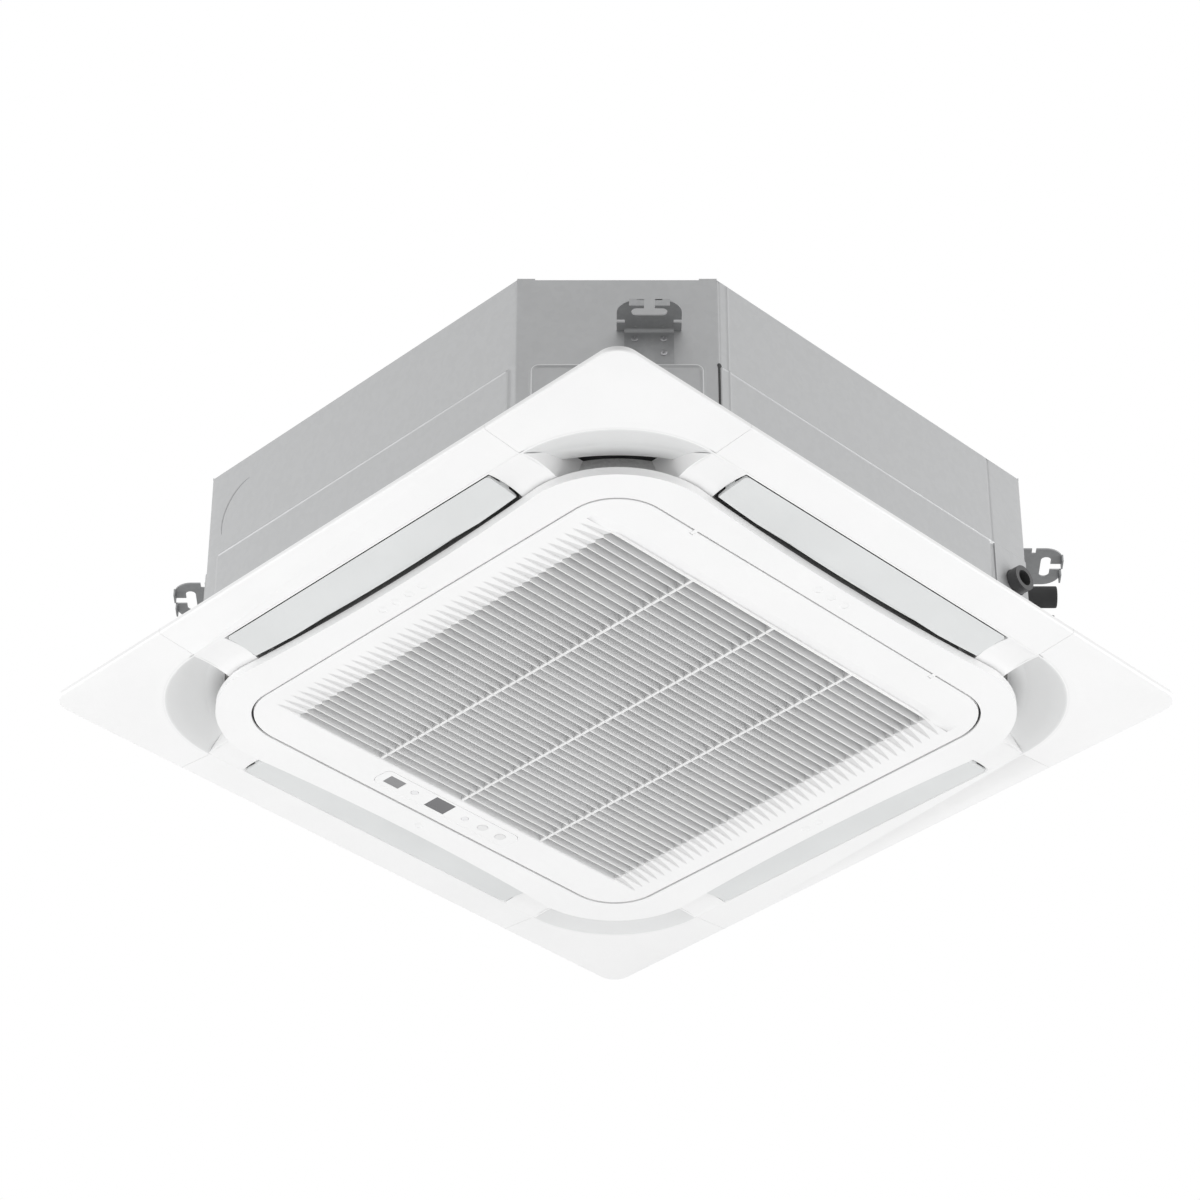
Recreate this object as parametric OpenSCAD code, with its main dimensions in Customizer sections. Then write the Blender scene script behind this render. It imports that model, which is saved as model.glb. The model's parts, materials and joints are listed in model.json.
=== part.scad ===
// Ceiling cassette air conditioner: a sheet steel body that hangs above the ceiling and a
// square fascia panel below it, with four louvred side outlets, four open corner outlets
// and a hinged intake grille.
// The origin is the centre of the panel in the plane of the ceiling, +Z is up.
// The pipes leave at the (+X, +Y) corner and the display is on the -X side.

/* [Body] */
// Width of the square body
body_w = 840; // [830:1:860]
// Length that each chamfer takes off a body side
body_chamfer = 158; // [150:1:165]
// Height of the body
body_h = 230; // [225:1:260]
// Height of the body's lower edge above the ceiling
body_lift = 10; // [9.9:0.1:12]
// Thickness of the sheet steel
sheet = 1; // [0.8:0.1:1.2]
// Thickness of the foam liner
liner_t = 14; // [12:0.5:15]
// Height of the pressed field on the body sides, above the ceiling
field_top = 117; // [100:1:130]
// Diameter of the fresh air knock-out
knockout_d = 128; // [80:1:150]

/* [Hanging] */
// Distance between the threaded rods along X
rod_pitch_x = 780; // [776:1:786]
// Distance between the threaded rods along Y
rod_pitch_y = 680; // [676:1:686]
// Height of the bracket flange's underside above the ceiling
rod_seat = 166; // [150:1:190]
// Width of a rod slot
rod_slot_w = 12; // [10.5:0.5:13]
// Length of a rod slot
rod_slot_l = 40; // [30:1:44]
// Thickness of the bracket steel
bracket_t = 2; // [1.5:0.1:2.5]

/* [Panel] */
// Width of the square panel
panel_w = 950; // [946:1:970]
// Corner radius of the panel
panel_r = 25; // [15:1:40]
// Height of the panel's outer edge
rim_h = 6; // [5.6:0.1:7]
// Drop from the ceiling to the flange's inner edge
flange_drop = 11; // [10:0.5:13]
// Drop from the ceiling to the face of the ring and the grille
face_drop = 26; // [25:0.5:30]
// Width between the flange's inner edges
throat_w = 840; // [836:1:844]
// Corner radius of the flange's inner edge
throat_r = 148; // [140:1:155]
// Height of the panel's walls above the ceiling
panel_rise = 18; // [17:0.5:19]
// Wall of the panel mouldings
skin = 2.5; // [2:0.1:2.8]
// Width of the ring across its corners' sides
ring_w = 742; // [738:1:746]
// Corner radius of the ring
ring_r = 124; // [115:1:130]
// Depth of the ring's hollow sides at mid-side
ring_pinch = 9.5; // [6:0.5:11]

/* [Louvres] */
// Length of a louvre
louvre_l = 440; // [400:1:441]
// Thickness of a louvre
louvre_t = 3; // [2:0.1:4]
// Gap between the ring and a louvre
louvre_gap = 5; // [4.5:0.5:8]
// Distance of the louvre's axis from the centre
louvre_axis_x = 393; // [390:1:396]
// Diameter of a louvre pin
louvre_pin_d = 5; // [4:0.1:6]

/* [Grille] */
// Width of the square intake grille
grille_w = 645; // [640:1:646]
// Corner radius of the grille
grille_r = 64; // [50:1:80]
// Gap between the ring and the grille
grille_gap = 1.5; // [1.2:0.1:2]
// Number of slots across the grille
slot_count = 40; // [30:1:40]
// Distance between two slots
slot_pitch = 13; // [12.5:0.1:13]
// Width of a slot
slot_w = 6.8; // [5:0.1:8]
// Length of the slotted field
slot_field = 528; // [500:1:534]
// Width of a cross rib
cross_rib = 5.5; // [4:0.5:8]
// Depth of a slat
slat_h = 12; // [10:0.5:12.5]

/* [Fan and coil] */
// Diameter of the fan wheel
fan_d = 460; // [430:1:480]
// Number of fan blades
blade_count = 7; // [5:1:9]
// Distance from the wheel's edge in to the bell mouth
mouth_inset = 38; // [35:1:50]
// Width across the coil's outer faces
coil_w = 674; // [670:1:678]
// Depth of the coil, two rows
coil_t = 40; // [36:1:42]
// Diameter of the fan motor
motor_d = 150; // [130:1:160]
// Diameter of the motor shaft
shaft_d = 12; // [10:0.5:14]

/* [Pipes] */
// Outer diameter of the drain outlet
drain_d = 32; // [28:0.5:34]
// Outer diameter of the gas pipe
gas_d = 15.88; // [12.7:0.01:16]
// Outer diameter of the liquid pipe
liquid_d = 9.52; // [6.35:0.01:10]

/* [Hidden] */
$fn = 64;
arc_fn = 360;
cut = 1;
gap = 0.3;

// Body
body_top = body_lift + body_h;
half = body_w / 2;
chamfer_u = (body_w - body_chamfer) / sqrt(2);
chamfer_half = body_chamfer / sqrt(2);
liner_in = sheet + gap + liner_t;
lip_w = sheet + gap + liner_t;
field_proud = 1.5;
field_edge = 20;
field_near_gap = 2.5;
field_crease = 12;
cover_y0 = 205;
cover_t = 1.2;
side_half = half - body_chamfer;
field_spans = [
    [field_near_gap - side_half, cover_y0 - cover_t], [field_edge - side_half, side_half - field_edge],
    [field_edge - side_half, side_half - field_edge], [field_edge - side_half, side_half - field_crease]
];
corner_field_w = 190;
corner_field_r = 9;
knockout_x = -188;
knockout_drop = 100;
knockout_z = body_top - knockout_drop;
knockout_line = 1.4;
knockout_depth = 0.5;
tab_l = 20;
tab_h = 2;
rib_r = [150, 215, 280];
rib_w = 8;
rib_h = 1.5;

// Hanger brackets, in the frame of a chamfer: x out of the face, y along it
rod_u = (rod_pitch_x + rod_pitch_y) / 2 / sqrt(2);
rod_v = (rod_pitch_x - rod_pitch_y) / 2 / sqrt(2);
slot_out = rod_u - chamfer_u;
bracket_w = 72;
bracket_margin = 14;
bracket_out = slot_out + rod_slot_w / 2 + bracket_margin;
bracket_r = 22;
bracket_leg_w = 55;
bracket_leg_h = 48;
bracket_tab_w = 17;
bracket_tab_h = 10;
notch_l = 9;
notch_w = 5;
notch_off = 10;
notch_x = slot_out - rod_slot_w / 2 - notch_off;
relief_w = 3;
relief_l = 8;
relief_y = 15;
screw_head_d = 11;
screw_head_h = 3;
screw_d = 5;
screw_v = 16;
screw_drop = 12;
screw_step = 20;
screw_taper_share = 0.6;

// Panel
seam = throat_w / 2 - throat_r;
seam_gap = 0.4;
flange_slab = 0.2;
cove_w = 812;
cove_r = 210;
cove_top = 4;
ledge_w = 804;
ledge_r = 252;
ledge_top = 6.8;
ledge_share = 0.7;
core_w = 714;
core_r = 147;
ring_t = 3;
ring_skirt = 10;
core_bottom = ring_t - face_drop;
core_flange = 12;
pinch_l = ring_w / 2 - ring_r;
pinch_r = (pinch_l * pinch_l + ring_pinch * ring_pinch) / (2 * ring_pinch);
pinch_x = ring_w / 2 - ring_pinch + pinch_r;
bridge_in = core_w / 2 - skin / 2;
bridge_z = -18;
bridge_bow = 4.5;
bridge_y0 = louvre_l / 2 + 1;
bridge_steps = 8;
end_wall_lean = 12;
lean_share = (cove_top - bridge_z) / (panel_rise - bridge_z);
bite_share = 0.3;
web_z = -2.9;
web_t = 2.4;
gusset_u = 385;
gusset_drop = 4;
gusset_z = panel_rise - gusset_drop;
gusset_t = 3;
seal_h = 6;
seal_w = 6;
pan_z = panel_rise + seal_h;
dot_d = 12;
dot_pitch = 22;
dot_depth = 0.6;
dot_u = 343;
dot_counts = [3, 2, 1, 4];
cover_post_d = 9;
cover_post_edge = 22;
cover_post_share = [0.32, 0.62];
panel_screw_u = 397;
panel_screw_d = 6;
panel_screw_v = 24;

// Louvres
louvre_axis_z = -1;
louvre_edge_gap = 0.8;
louvre_out = throat_w / 2 - louvre_edge_gap;
louvre_sink = 0.4;
louvre_z_out = -flange_drop - louvre_sink;
louvre_bevel = 3.2;
louvre_z_in = -17.5;
louvre_bow = 1.2;
louvre_r = 6;
louvre_lug_w = 14;
louvre_lug_t = 3;
louvre_pin_l = 4;
louvre_drive_l = 8.5;
louvre_hub_wall = 1.5;
pin_play = 0.06;
motor_can_d = 22;
motor_can_h = 17;
motor_can_off = 6.5;
motor_ear_t = 1;
motor_ear_l = 28;
motor_ear_w = 7;
motor_boss_d = 10;
motor_boss_h = 5.2;
motor_y0 = bridge_y0 + skin + gap;
pocket_z = -6.5;

// Grille, its hinge and its catches
grille_rise = 16;
grille_bevel = 3.4;
hinge_inset = 6.1;
hinge_x = grille_w / 2 - hinge_inset;
hinge_h = 1.4;
hinge_z = hinge_h - face_drop;
hinge_y = 200;
hinge_pin_d = 1.6;
hinge_eye_d = 2 * hinge_h;
hinge_eye_w = 5;
hinge_grip = 4;
hinge_gap = 0.3;
hinge_pin_l = hinge_eye_w + 2 * hinge_gap + 2 * hinge_grip;
catch_x = -312;
catch_y = 200;
catch_d = 8;
catch_h = 9;
catch_socket_d = 14;
catch_socket_h = 18;
catch_socket_z = catch_socket_h - face_drop;
catch_arm = 10;
catch_arm_t = 3;
catch_tip = 2;
slot_x0 = -263;
taper_l = 34;
taper_depth = 2.2;

// Filter
filter_w = 560;
filter_t = 4;
filter_bar = 5;
filter_cells = 6;
filter_z = slat_h - face_drop + gap;
filter_l = 524;
mesh_t = 0.4;
clip_x = 150;
clip_w = 12;
clip_t = 3;
clip_lip = 4;
clip_lip_t = 2;

// Display
display_x = -292;
display_w = 31;
display_l = 221;
display_r = 9;
display_t = 2.6;
display_gap = 0.4;
board_h = 9;
board_z = board_h - face_drop;
board_t = 1.6;
button_ys = [90, 60];
button_d = 13;
button_gap = 0.3;
button_t = 4.5;
button_proud = 0.3;
button_travel = 0.8;
button_flange = 1.5;
button_flange_t = 1;
button_stem_d = 4.4;
lamp_ys = [30, -54];
lamp_d = 9;
window_y = -12;
window_size = [24, 31];
receiver_y = -87;
receiver_size = [16, 24];
window_t = 1.8;
display_wall = 8;
display_skin = 1.2;
display_flange = 3;
display_flange_t = 1.5;
display_post_y = 104;
board_neck_w = 14;
display_post_d = 5;

// Fan, motor and coil
mouth_d = fan_d - 2 * mouth_inset;
mouth_flange_w = 600;
mouth_flange_r = 14;
base_drop = 32;
base_z = body_top - base_drop;
damper_h = 8;
motor_z1 = base_z - damper_h;
motor_h = 64;
motor_z0 = motor_z1 - motor_h;
dome_drop = 12;
dome_z = motor_z0 - dome_drop;
hub_drop = 35;
hub_z = motor_z1 - hub_drop;
shaft_sink = 8;
shaft_top = motor_z1 - shaft_sink;
shaft_end = 16;
shaft_bottom = dome_z - shaft_end;
mouth_t = 2;
mouth_z = pan_z - mouth_t - gap;
mouth_flare = 46;
mouth_top = 58;
shroud_gap = 6;
shroud_z = 54;
shroud_lip = 6;
shroud_out_z = 84;
shroud_t = 2.5;
shroud_steps = 5;
hub_t = 3;
dome_r = 106;
dome_in_r = 62;
boss_d = 34;
boss_h = 16;
blade_in_r = 132;
blade_out_r = fan_d / 2 - 2;
blade_t = 4;
blade_sweep = 34;
blade_lead = 14;
blade_root_share = 0.35;
blade_belly_share = 1.3;
blade_steps = 6;
motor_rib_count = 12;
motor_rib_w = 2;
motor_round = 12;
base_t = 2;
base_r = 105;
leg_w = 34;
foot_r = base_r + leg_w / 4 - base_t / 2;
damper_d = 22;
damper_r = 58;
shaft_play = 0.05;
shaft_room = 1;
bearing_d = 28;
bearing_h = 8;
nut_d = 22;
nut_h = 8;
coil_r = 100;
coil_end = 236;
end_plate_t = 1.5;
end_plate_over = 4;
tube_d = 7;
tube_pitch = 24;
row_pitch = 22;
stay_u = 380;
stay_w = 15;
stay_t = 1.5;
stay_angles = [135, 225, 315];
partition_u = 375.3;
partition_w = 76;
partition_t = 1;
fin_groove = 3;
fin_pitch = 12;

// Drain pan, pump and pipes
pan_h = 42;
pan_floor = 36;
liner_z0 = body_lift + sheet + gap;
liner_z1 = body_top - sheet - gap;
liner_top = liner_z1 - liner_t / 2 - cut;
coil_z0 = pan_floor + gap;
coil_z1 = liner_top - gap;
tube_rows = floor((coil_z1 - coil_z0) / tube_pitch);
pan_hole_d = 524;
pan_clear = 0.3;
gutter_in = 284;
gutter_out = 348;
gutter_r_in = 40;
gutter_r_out = 125;
outlet_in = 362;
outlet_out = 399;
outlet_l = 446;
sump_in = 238;
corner_slot_u = 448;
corner_slot_w = 150;
plug_d = 22;
plug_lip = 2;
plug_u = 356;
pump_u = 412;
pump_v = 14;
pump_d = 54;
pump_z0 = 67;
pump_z1 = 137;
pump_cap_h = 14;
cap_shares = [0.8, 0.6];
pump_neck_d = 30;
pump_foot = 2;
impeller_d = 24;
impeller_hub_t = 3;
impeller_drop = 20;
vane_h = 6;
vane_t = 1.2;
vane_count = 8;
pump_strap_t = 2;
float_d = 20;
float_h = 16;
float_x = 270;
float_y = 322;
float_z = 42;
float_travel = 12;
stem_d = 5;
stem_h = 60;
stem_foot_t = 2;
stem_stop_t = 3;
drain_y = 240;
drain_z = 77;
drain_bore = 20;
drain_out = 15;
drain_step = 0.5;
gas_v = 84;
gas_z = 87;
liquid_z = 76;
pipe_out = 34;
cap_d = 26;
cap_t = 2;
pipe_wall = 1;
hose_d = 22;
hose_wall = 2;
hose_grip = 8;
hose_start = 5;
hose_way = [(pump_u + pump_v) / sqrt(2) - half + liner_in, (pump_u - pump_v) / sqrt(2) - drain_y];
hose_l = norm(hose_way);
nozzle_d = hose_d - 2 * hose_wall - 2 * gap;
spigot_wall = 2.2;
riser_u = 455;
riser_bend = 12;
liquid_v = 50;
header_drop = 26;
header_top = body_top - header_drop;
header_rows = [for (k = [1:tube_rows - 1]) if (coil_z0 + k * tube_pitch > gas_z + riser_bend) k];
feeder_d = 5;
feeder_inset = 3;
feeder_bend = 8;
distributor_d = 18;
distributor_drop = 80;
distributor_z = body_top - distributor_drop;
distributor_h = 40;
capillary_d = 3;
capillary_shares = [0.2, 0.8];

// Control box
box_w = 340;
box_d = 96;
box_h = 23;
box_y = 249;
box_t = 1.2;
box_z = mouth_z - gap - box_h;
box_screw_edge = 6;
box_screw_z = 9;
box_post_d = 5;
pcb_t = 1.6;
pcb_x = -158;
pcb_l = 240;
pcb_y = 257;
pcb_w = 80;
pcb_z = box_z + 2.3;
pcb_edge = 7;
chip_boxes = [
    [14, 12, 42, 36, 14], [70, 16, 18, 28, 12], [12, 66, 20, 8, 7], [44, 66, 20, 8, 7],
    [76, 66, 20, 8, 7], [108, 66, 20, 8, 7], [140, 66, 20, 8, 7], [172, 66, 20, 8, 7]
];
cap_xs = [110, 136, 162, 188];
cap_y = 24;
cap_h = 13;
cap_round_d = 16;
block_x = 94;
block_y = 265;
block_l = 60;
block_w = 26;
block_h = 14;
block_ways = 5;
block_way_pitch = 11.5;
block_way_w = 9;
block_way_depth = 5;
block_wall = 3;

function octagon(h, c) = [
    [h, h - c], [h - c, h], [c - h, h], [-h, h - c],
    [-h, c - h], [c - h, -h], [h - c, -h], [h, c - h]
];

// The body's outline moved in by t on every face
function body_in(t) = octagon(half - t, body_chamfer - (2 - sqrt(2)) * t);

// Points from p to q along a shallow bow that rises by sag at the middle
function bow(p, q, sag, n) = [
    for (i = [0:n]) p + (q - p) * i / n + [0, 4 * sag * i / n * (1 - i / n)]
];

function reversed(pts) = [for (i = [len(pts) - 1:-1:0]) pts[i]];

// A strip that follows the points with a thickness of t above them
function strip(pts, t) = concat(pts, reversed([for (p = pts) p + [0, t]]));

// A point of a backward curved blade at the share s of its length
function blade_point(s, side) =
    let (r = blade_in_r + (blade_out_r - blade_in_r) * s)
    let (a = -blade_sweep * s * s - blade_lead * s)
    let (w = side * blade_t * (blade_root_share + blade_belly_share * s * (1 - s)))
    [r * cos(a) - w * sin(a), r * sin(a) + w * cos(a)];

// The half width at y of a rounded square
function arc_x(w, r, y) = w / 2 - r + sqrt(r * r - pow(max(y - w / 2 + r, 0), 2));

module rounded_square(w, r) {
    square([w - 2 * r, w], center = true);
    square([w, w - 2 * r], center = true);
    for (x = [-1, 1], y = [-1, 1]) translate([x * (w / 2 - r), y * (w / 2 - r)]) circle(r = r);
}

module rounded_rect(w, l, r) {
    square([w - 2 * r, l], center = true);
    square([w, l - 2 * r], center = true);
    for (x = [-1, 1], y = [-1, 1]) translate([x * (w / 2 - r), y * (l / 2 - r)]) circle(r = r);
}

// The ring's outline, hollow along its sides, moved in by t
module pinched_square(t) {
    difference() {
        rounded_square(ring_w - 2 * t, ring_r - t);
        for (a = [0:90:270])
            rotate(a) translate([pinch_x, 0]) circle(r = pinch_r + t, $fn = arc_fn);
    }
}

module four_sides() {
    for (a = [0:90:270]) rotate(a) children();
}

// Places children on a chamfer: x out of its face, y along it towards the X side
module on_chamfer(sx, sy) {
    mirror([sx < 0 ? 1 : 0, 0, 0])
        mirror([0, sy < 0 ? 1 : 0, 0])
            rotate(45) translate([chamfer_u, 0, 0]) mirror([0, 1, 0]) children();
}

module all_chamfers() {
    for (sx = [-1, 1], sy = [-1, 1]) on_chamfer(sx, sy) children();
}

// A round bar along +X, from the origin
module rod_x(l, d) {
    rotate([0, 90, 0]) cylinder(h = l, d = d);
}

// Prism along Y of an outline drawn in X and Z, centred at y
module along_y(l, y) {
    translate([0, y + l / 2, 0]) rotate([90, 0, 0]) linear_extrude(l) children();
}

// Body

module shell_field(t) {
    z0 = body_lift - (t > 0 ? cut : 0);
    for (i = [0:3]) rotate(i * 90) translate([half - cut - t, field_spans[i][0] + t, z0])
        cube([cut + field_proud, field_spans[i][1] - field_spans[i][0] - 2 * t, field_top - t - z0]);
}

module corner_field(t) {
    z0 = body_lift - (t > 0 ? cut : 0);
    all_chamfers() translate([-cut - t, 0, z0]) rotate([90, 0, 90]) linear_extrude(cut + field_proud)
        translate([0, (field_top - t - z0) / 2])
            rounded_rect(corner_field_w - 2 * t, field_top - t - z0, corner_field_r);
}

module casing_shell() {
    color("silver") difference() {
        union() {
            translate([0, 0, body_lift]) linear_extrude(body_h - sheet) polygon(body_in(0));
            shell_field(0);
            corner_field(0);
        }
        translate([0, 0, body_lift + sheet]) linear_extrude(body_h) polygon(body_in(sheet));
        translate([0, 0, body_lift - cut]) linear_extrude(body_h) polygon(body_in(lip_w));
        difference() {
            union() {
                shell_field(sheet);
                corner_field(sheet);
            }
            translate([0, 0, body_lift - cut]) linear_extrude(cut + sheet) polygon(body_in(0));
        }
        translate([knockout_x, -half, knockout_z]) rotate([90, 0, 0]) difference() {
            translate([0, 0, -knockout_depth]) cylinder(h = knockout_depth + cut, d = knockout_d);
            translate([0, 0, -cut]) cylinder(h = 3 * cut, d = knockout_d - 2 * knockout_line);
        }
        pipe_window();
    }
}

// The hole in the body's wall for the drain, behind the pipe cover, and the two pipe holes
module pipe_window() {
    l = liner_in + 2 * cut + field_proud;
    translate([half - liner_in - cut, drain_y, drain_z]) rod_x(l, drain_d + 4 * gap);
    on_chamfer(1, 1) {
        translate([-liner_in - cut, gas_v, gas_z]) rod_x(l, gas_d + 4 * gap);
        translate([-liner_in - cut, liquid_v, liquid_z]) rod_x(l, liquid_d + 4 * gap);
    }
}

module top_plate() {
    color("silver") {
        translate([0, 0, body_top - sheet]) difference() {
            linear_extrude(sheet) polygon(body_in(0));
            translate([0, 0, -cut])
                for (a = [45:90:315]) rotate(a) translate([foot_r, 0, 0])
                    cylinder(h = sheet + 2 * cut, d = screw_d);
        }
        for (r = rib_r) translate([0, 0, body_top]) difference() {
            cylinder(h = rib_h, r = r + rib_w / 2, $fn = arc_fn);
            translate([0, 0, -cut]) cylinder(h = rib_h + 2 * cut, r = r - rib_w / 2, $fn = arc_fn);
        }
        all_chamfers() for (s = [-1, 1])
            translate([-sheet, s * (chamfer_half - tab_l / 2) - tab_l / 2, body_top - sheet])
                cube([sheet, tab_l, sheet + tab_h]);
        for (a = [0:45:315]) rotate(a)
            translate([rib_r[0], -rib_w / 2, body_top])
                cube([rib_r[2] - rib_r[0], rib_w, rib_h]);
    }
}

module bracket_outline() {
    w = bracket_w;
    difference() {
        union() {
            translate([0, -w / 2]) square([bracket_out - bracket_r, w]);
            translate([0, -w / 2 + bracket_r]) square([bracket_out, w - 2 * bracket_r]);
            for (s = [-1, 1]) translate([bracket_out - bracket_r, s * (w / 2 - bracket_r)])
                circle(r = bracket_r);
        }
        translate([slot_out, 0]) square([rod_slot_w, rod_slot_l - rod_slot_w], center = true);
        for (s = [-1, 1]) translate([slot_out, s * (rod_slot_l - rod_slot_w) / 2]) circle(d = rod_slot_w);
        translate([slot_out, -rod_slot_w / 2]) square([bracket_out, rod_slot_w]);
        for (s = [-1, 1]) {
            translate([notch_x, s * (w / 2 - notch_l / 2 + cut / 2)])
                square([notch_w, notch_l + cut], center = true);
            translate([bracket_t, s * relief_y - relief_w / 2]) square([relief_l, relief_w]);
        }
    }
}

module hanger_bracket() {
    translate([0, rod_v, rod_seat]) {
        linear_extrude(bracket_t) bracket_outline();
        difference() {
            translate([0, -bracket_leg_w / 2, -bracket_leg_h])
                cube([bracket_t, bracket_leg_w, bracket_leg_h + bracket_t]);
            for (s = [-1, 1]) translate([-cut, s * screw_v, -screw_drop])
                for (z = [0, -screw_step]) translate([0, 0, z]) rod_x(bracket_t + 2 * cut, screw_d + gap);
        }
        for (s = [-1, 1])
            translate([bracket_out - bracket_t, s * (rod_slot_w + bracket_tab_w) / 2 - bracket_tab_w / 2, 0])
                cube([bracket_t, bracket_tab_w, bracket_tab_h]);
    }
}

module hanger_brackets() {
    color("gainsboro") all_chamfers() hanger_bracket();
}

module body_screws() {
    color("gray") {
        all_chamfers() for (s = [-1, 1], z = [0, screw_step])
            translate([bracket_t, rod_v + s * screw_v, rod_seat - screw_drop - z]) {
                rotate([0, 90, 0])
                    cylinder(h = screw_head_h, d1 = screw_head_d, d2 = screw_head_d * screw_taper_share);
                translate([-bracket_t, 0, 0]) rod_x(bracket_t + cut, screw_d - gap);
            }
        for (a = [45:90:315]) rotate(a) translate([foot_r, 0, body_top]) {
            cylinder(h = screw_head_h, d1 = screw_head_d, d2 = screw_head_d * screw_taper_share);
            translate([0, 0, -sheet - base_t]) cylinder(h = sheet + base_t + cut, d = screw_d - 2 * gap);
        }
    }
}

module pipe_cover() {
    color("silver") difference() {
        translate([half, cover_y0, body_lift]) cube([cover_t, side_half - cover_y0, field_top - body_lift]);
        translate([half - cut, drain_y, drain_z]) rod_x(cover_t + 2 * cut, drain_d + 4 * gap);
    }
}

module foam_liner() {
    color("whitesmoke") difference() {
        translate([0, 0, liner_z0]) linear_extrude(liner_z1 - liner_z0) polygon(body_in(sheet + gap));
        translate([0, 0, liner_z0 - cut]) linear_extrude(liner_top - liner_z0 + cut)
            polygon(body_in(liner_in));
        translate([0, 0, liner_z0]) cylinder(h = body_h, r = base_r + leg_w / 2);
        for (a = stay_angles) rotate(a) translate([stay_u - stay_w / 2, 0, body_h])
            cube([stay_w + 2 * gap, stay_w + 2 * gap, body_h], center = true);
        at_pump() translate([pump_strap_t / 2 - pump_d / 2, 0, body_h])
            cube([pump_strap_t + 2 * gap, leg_w + 2 * gap, body_h], center = true);
        pipe_window();
    }
}

// Coil

// A band of the coil's plan: from the inner face to the outer face, open at the pipe corner
module coil_plan(t0, t1) {
    difference() {
        rounded_square(coil_w - 2 * t0, coil_r - t0);
        rounded_square(coil_w - 2 * t1, coil_r - t1);
        translate([coil_end, coil_end]) square(coil_w);
    }
}

module coil_fins() {
    n = floor((coil_end * 2 - 2 * fin_pitch) / fin_pitch);
    color("lightsteelblue") translate([0, 0, coil_z0]) linear_extrude(coil_z1 - coil_z0) difference() {
        coil_plan(0, coil_t);
        for (a = [0:90:270], i = [0:n - 1]) rotate(a)
            translate([coil_w / 2 - fin_groove, (i - (n - 1) / 2) * fin_pitch - fin_groove / 4])
                square([fin_groove + cut, fin_groove / 2]);
    }
}

module at_coil_ends() {
    translate([coil_w / 2 - coil_t / 2, coil_end, 0]) children();
    mirror([1, -1, 0]) translate([coil_w / 2 - coil_t / 2, coil_end, 0]) children();
}

module coil_end_plates() {
    color("lightgray") at_coil_ends()
        translate([-coil_t / 2 - end_plate_over, 0, coil_z0])
            cube([coil_t + 2 * end_plate_over, end_plate_t, coil_z1 - coil_z0]);
}

// The return bends on both ends
module coil_tubes() {
    color("peru") at_coil_ends() translate([0, end_plate_t, 0])
        for (i = [0:tube_rows - 1]) translate([0, 0, coil_z0 + tube_pitch * (i + 0.5)])
            rotate_extrude(angle = 180) translate([row_pitch / 2, 0]) circle(d = tube_d, $fn = 32);
}

module coil_stays() {
    z0 = pan_z + pan_h + gap;
    color("lightgray") for (a = stay_angles) rotate(a) translate([stay_u - stay_w, 0, 0]) difference() {
        translate([0, -stay_w / 2, z0]) cube([stay_w, stay_w, body_top - sheet - z0]);
        translate([-cut, -stay_w / 2 - cut, z0 + stay_t])
            cube([stay_w + cut - stay_t, stay_w + 2 * cut, body_top - sheet - z0 - 2 * stay_t]);
        translate([stay_w / 2, 0, pan_z]) cylinder(h = pan_h + stay_w, d = screw_d);
    }
}

// Closes the gap between the two ends of the coil, in front of the pump
module coil_partition() {
    z0 = pan_z + pan_h + gap;
    color("silver") rotate(45) translate([partition_u - partition_t / 2, -partition_w / 2, z0])
        cube([partition_t, partition_w, coil_z1 - z0]);
}

// Drain pan

module outlet_plan() {
    translate([(outlet_in + outlet_out) / 2, 0]) square([outlet_out - outlet_in, outlet_l], center = true);
}

module corner_slot_plan() {
    intersection() {
        rounded_square(ledge_w - 4 * skin, ledge_r - 2 * skin);
        for (a = [45:90:315]) rotate(a) translate([corner_slot_u, -corner_slot_w / 2])
            square([ledge_r, corner_slot_w]);
    }
}

// The gutter below the coil and the sump at the pipe corner
module gutter_plan() {
    difference() {
        rounded_square(2 * gutter_out, gutter_r_out);
        difference() {
            rounded_square(2 * gutter_in, gutter_r_in);
            translate([sump_in, sump_in]) square(gutter_out);
        }
    }
}

module drain_pan() {
    color("whitesmoke") difference() {
        translate([0, 0, pan_z]) linear_extrude(pan_h) difference() {
            polygon(body_in(liner_in + pan_clear));
            circle(d = pan_hole_d, $fn = arc_fn);
            four_sides() outlet_plan();
            corner_slot_plan();
        }
        translate([0, 0, pan_floor]) linear_extrude(pan_h) gutter_plan();
        rotate(45) translate([plug_u, 0, pan_z - cut]) cylinder(h = pan_h, d = plug_d);
        for (a = stay_angles) rotate(a) translate([stay_u - stay_w / 2, 0, pan_z - cut])
            cylinder(h = pan_h + 2 * cut, d = screw_d + 2 * gap);
    }
}

module drain_plug() {
    color("dimgray") rotate(45) translate([plug_u, 0, 0]) {
        translate([0, 0, pan_z - gap]) cylinder(h = pan_floor - pan_z + gap, d = plug_d - 2 * gap);
        translate([0, 0, pan_z - gap - plug_lip]) cylinder(h = plug_lip, d = plug_d + 2 * plug_lip);
    }
}

module pan_screws() {
    color("gray") {
        for (a = stay_angles) rotate(a) translate([stay_u - stay_w / 2, 0, 0]) {
            translate([0, 0, mouth_z - screw_head_h]) cylinder(h = screw_head_h, d = screw_head_d);
            translate([0, 0, mouth_z - cut])
                cylinder(h = pan_z + pan_h + stay_w / 2 - mouth_z + cut, d = screw_d - 2 * gap);
        }
        for (s = [-1, 1]) translate([s * (box_w / 2 - box_screw_edge), box_y + box_d / 2, 0]) {
            translate([0, 0, box_z - gap - box_t - screw_head_h])
                cylinder(h = screw_head_h, d = screw_head_d);
            translate([0, 0, box_z - gap - box_t - cut])
                cylinder(h = box_screw_z, d = screw_d - 2 * gap);
        }
    }
}

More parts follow.
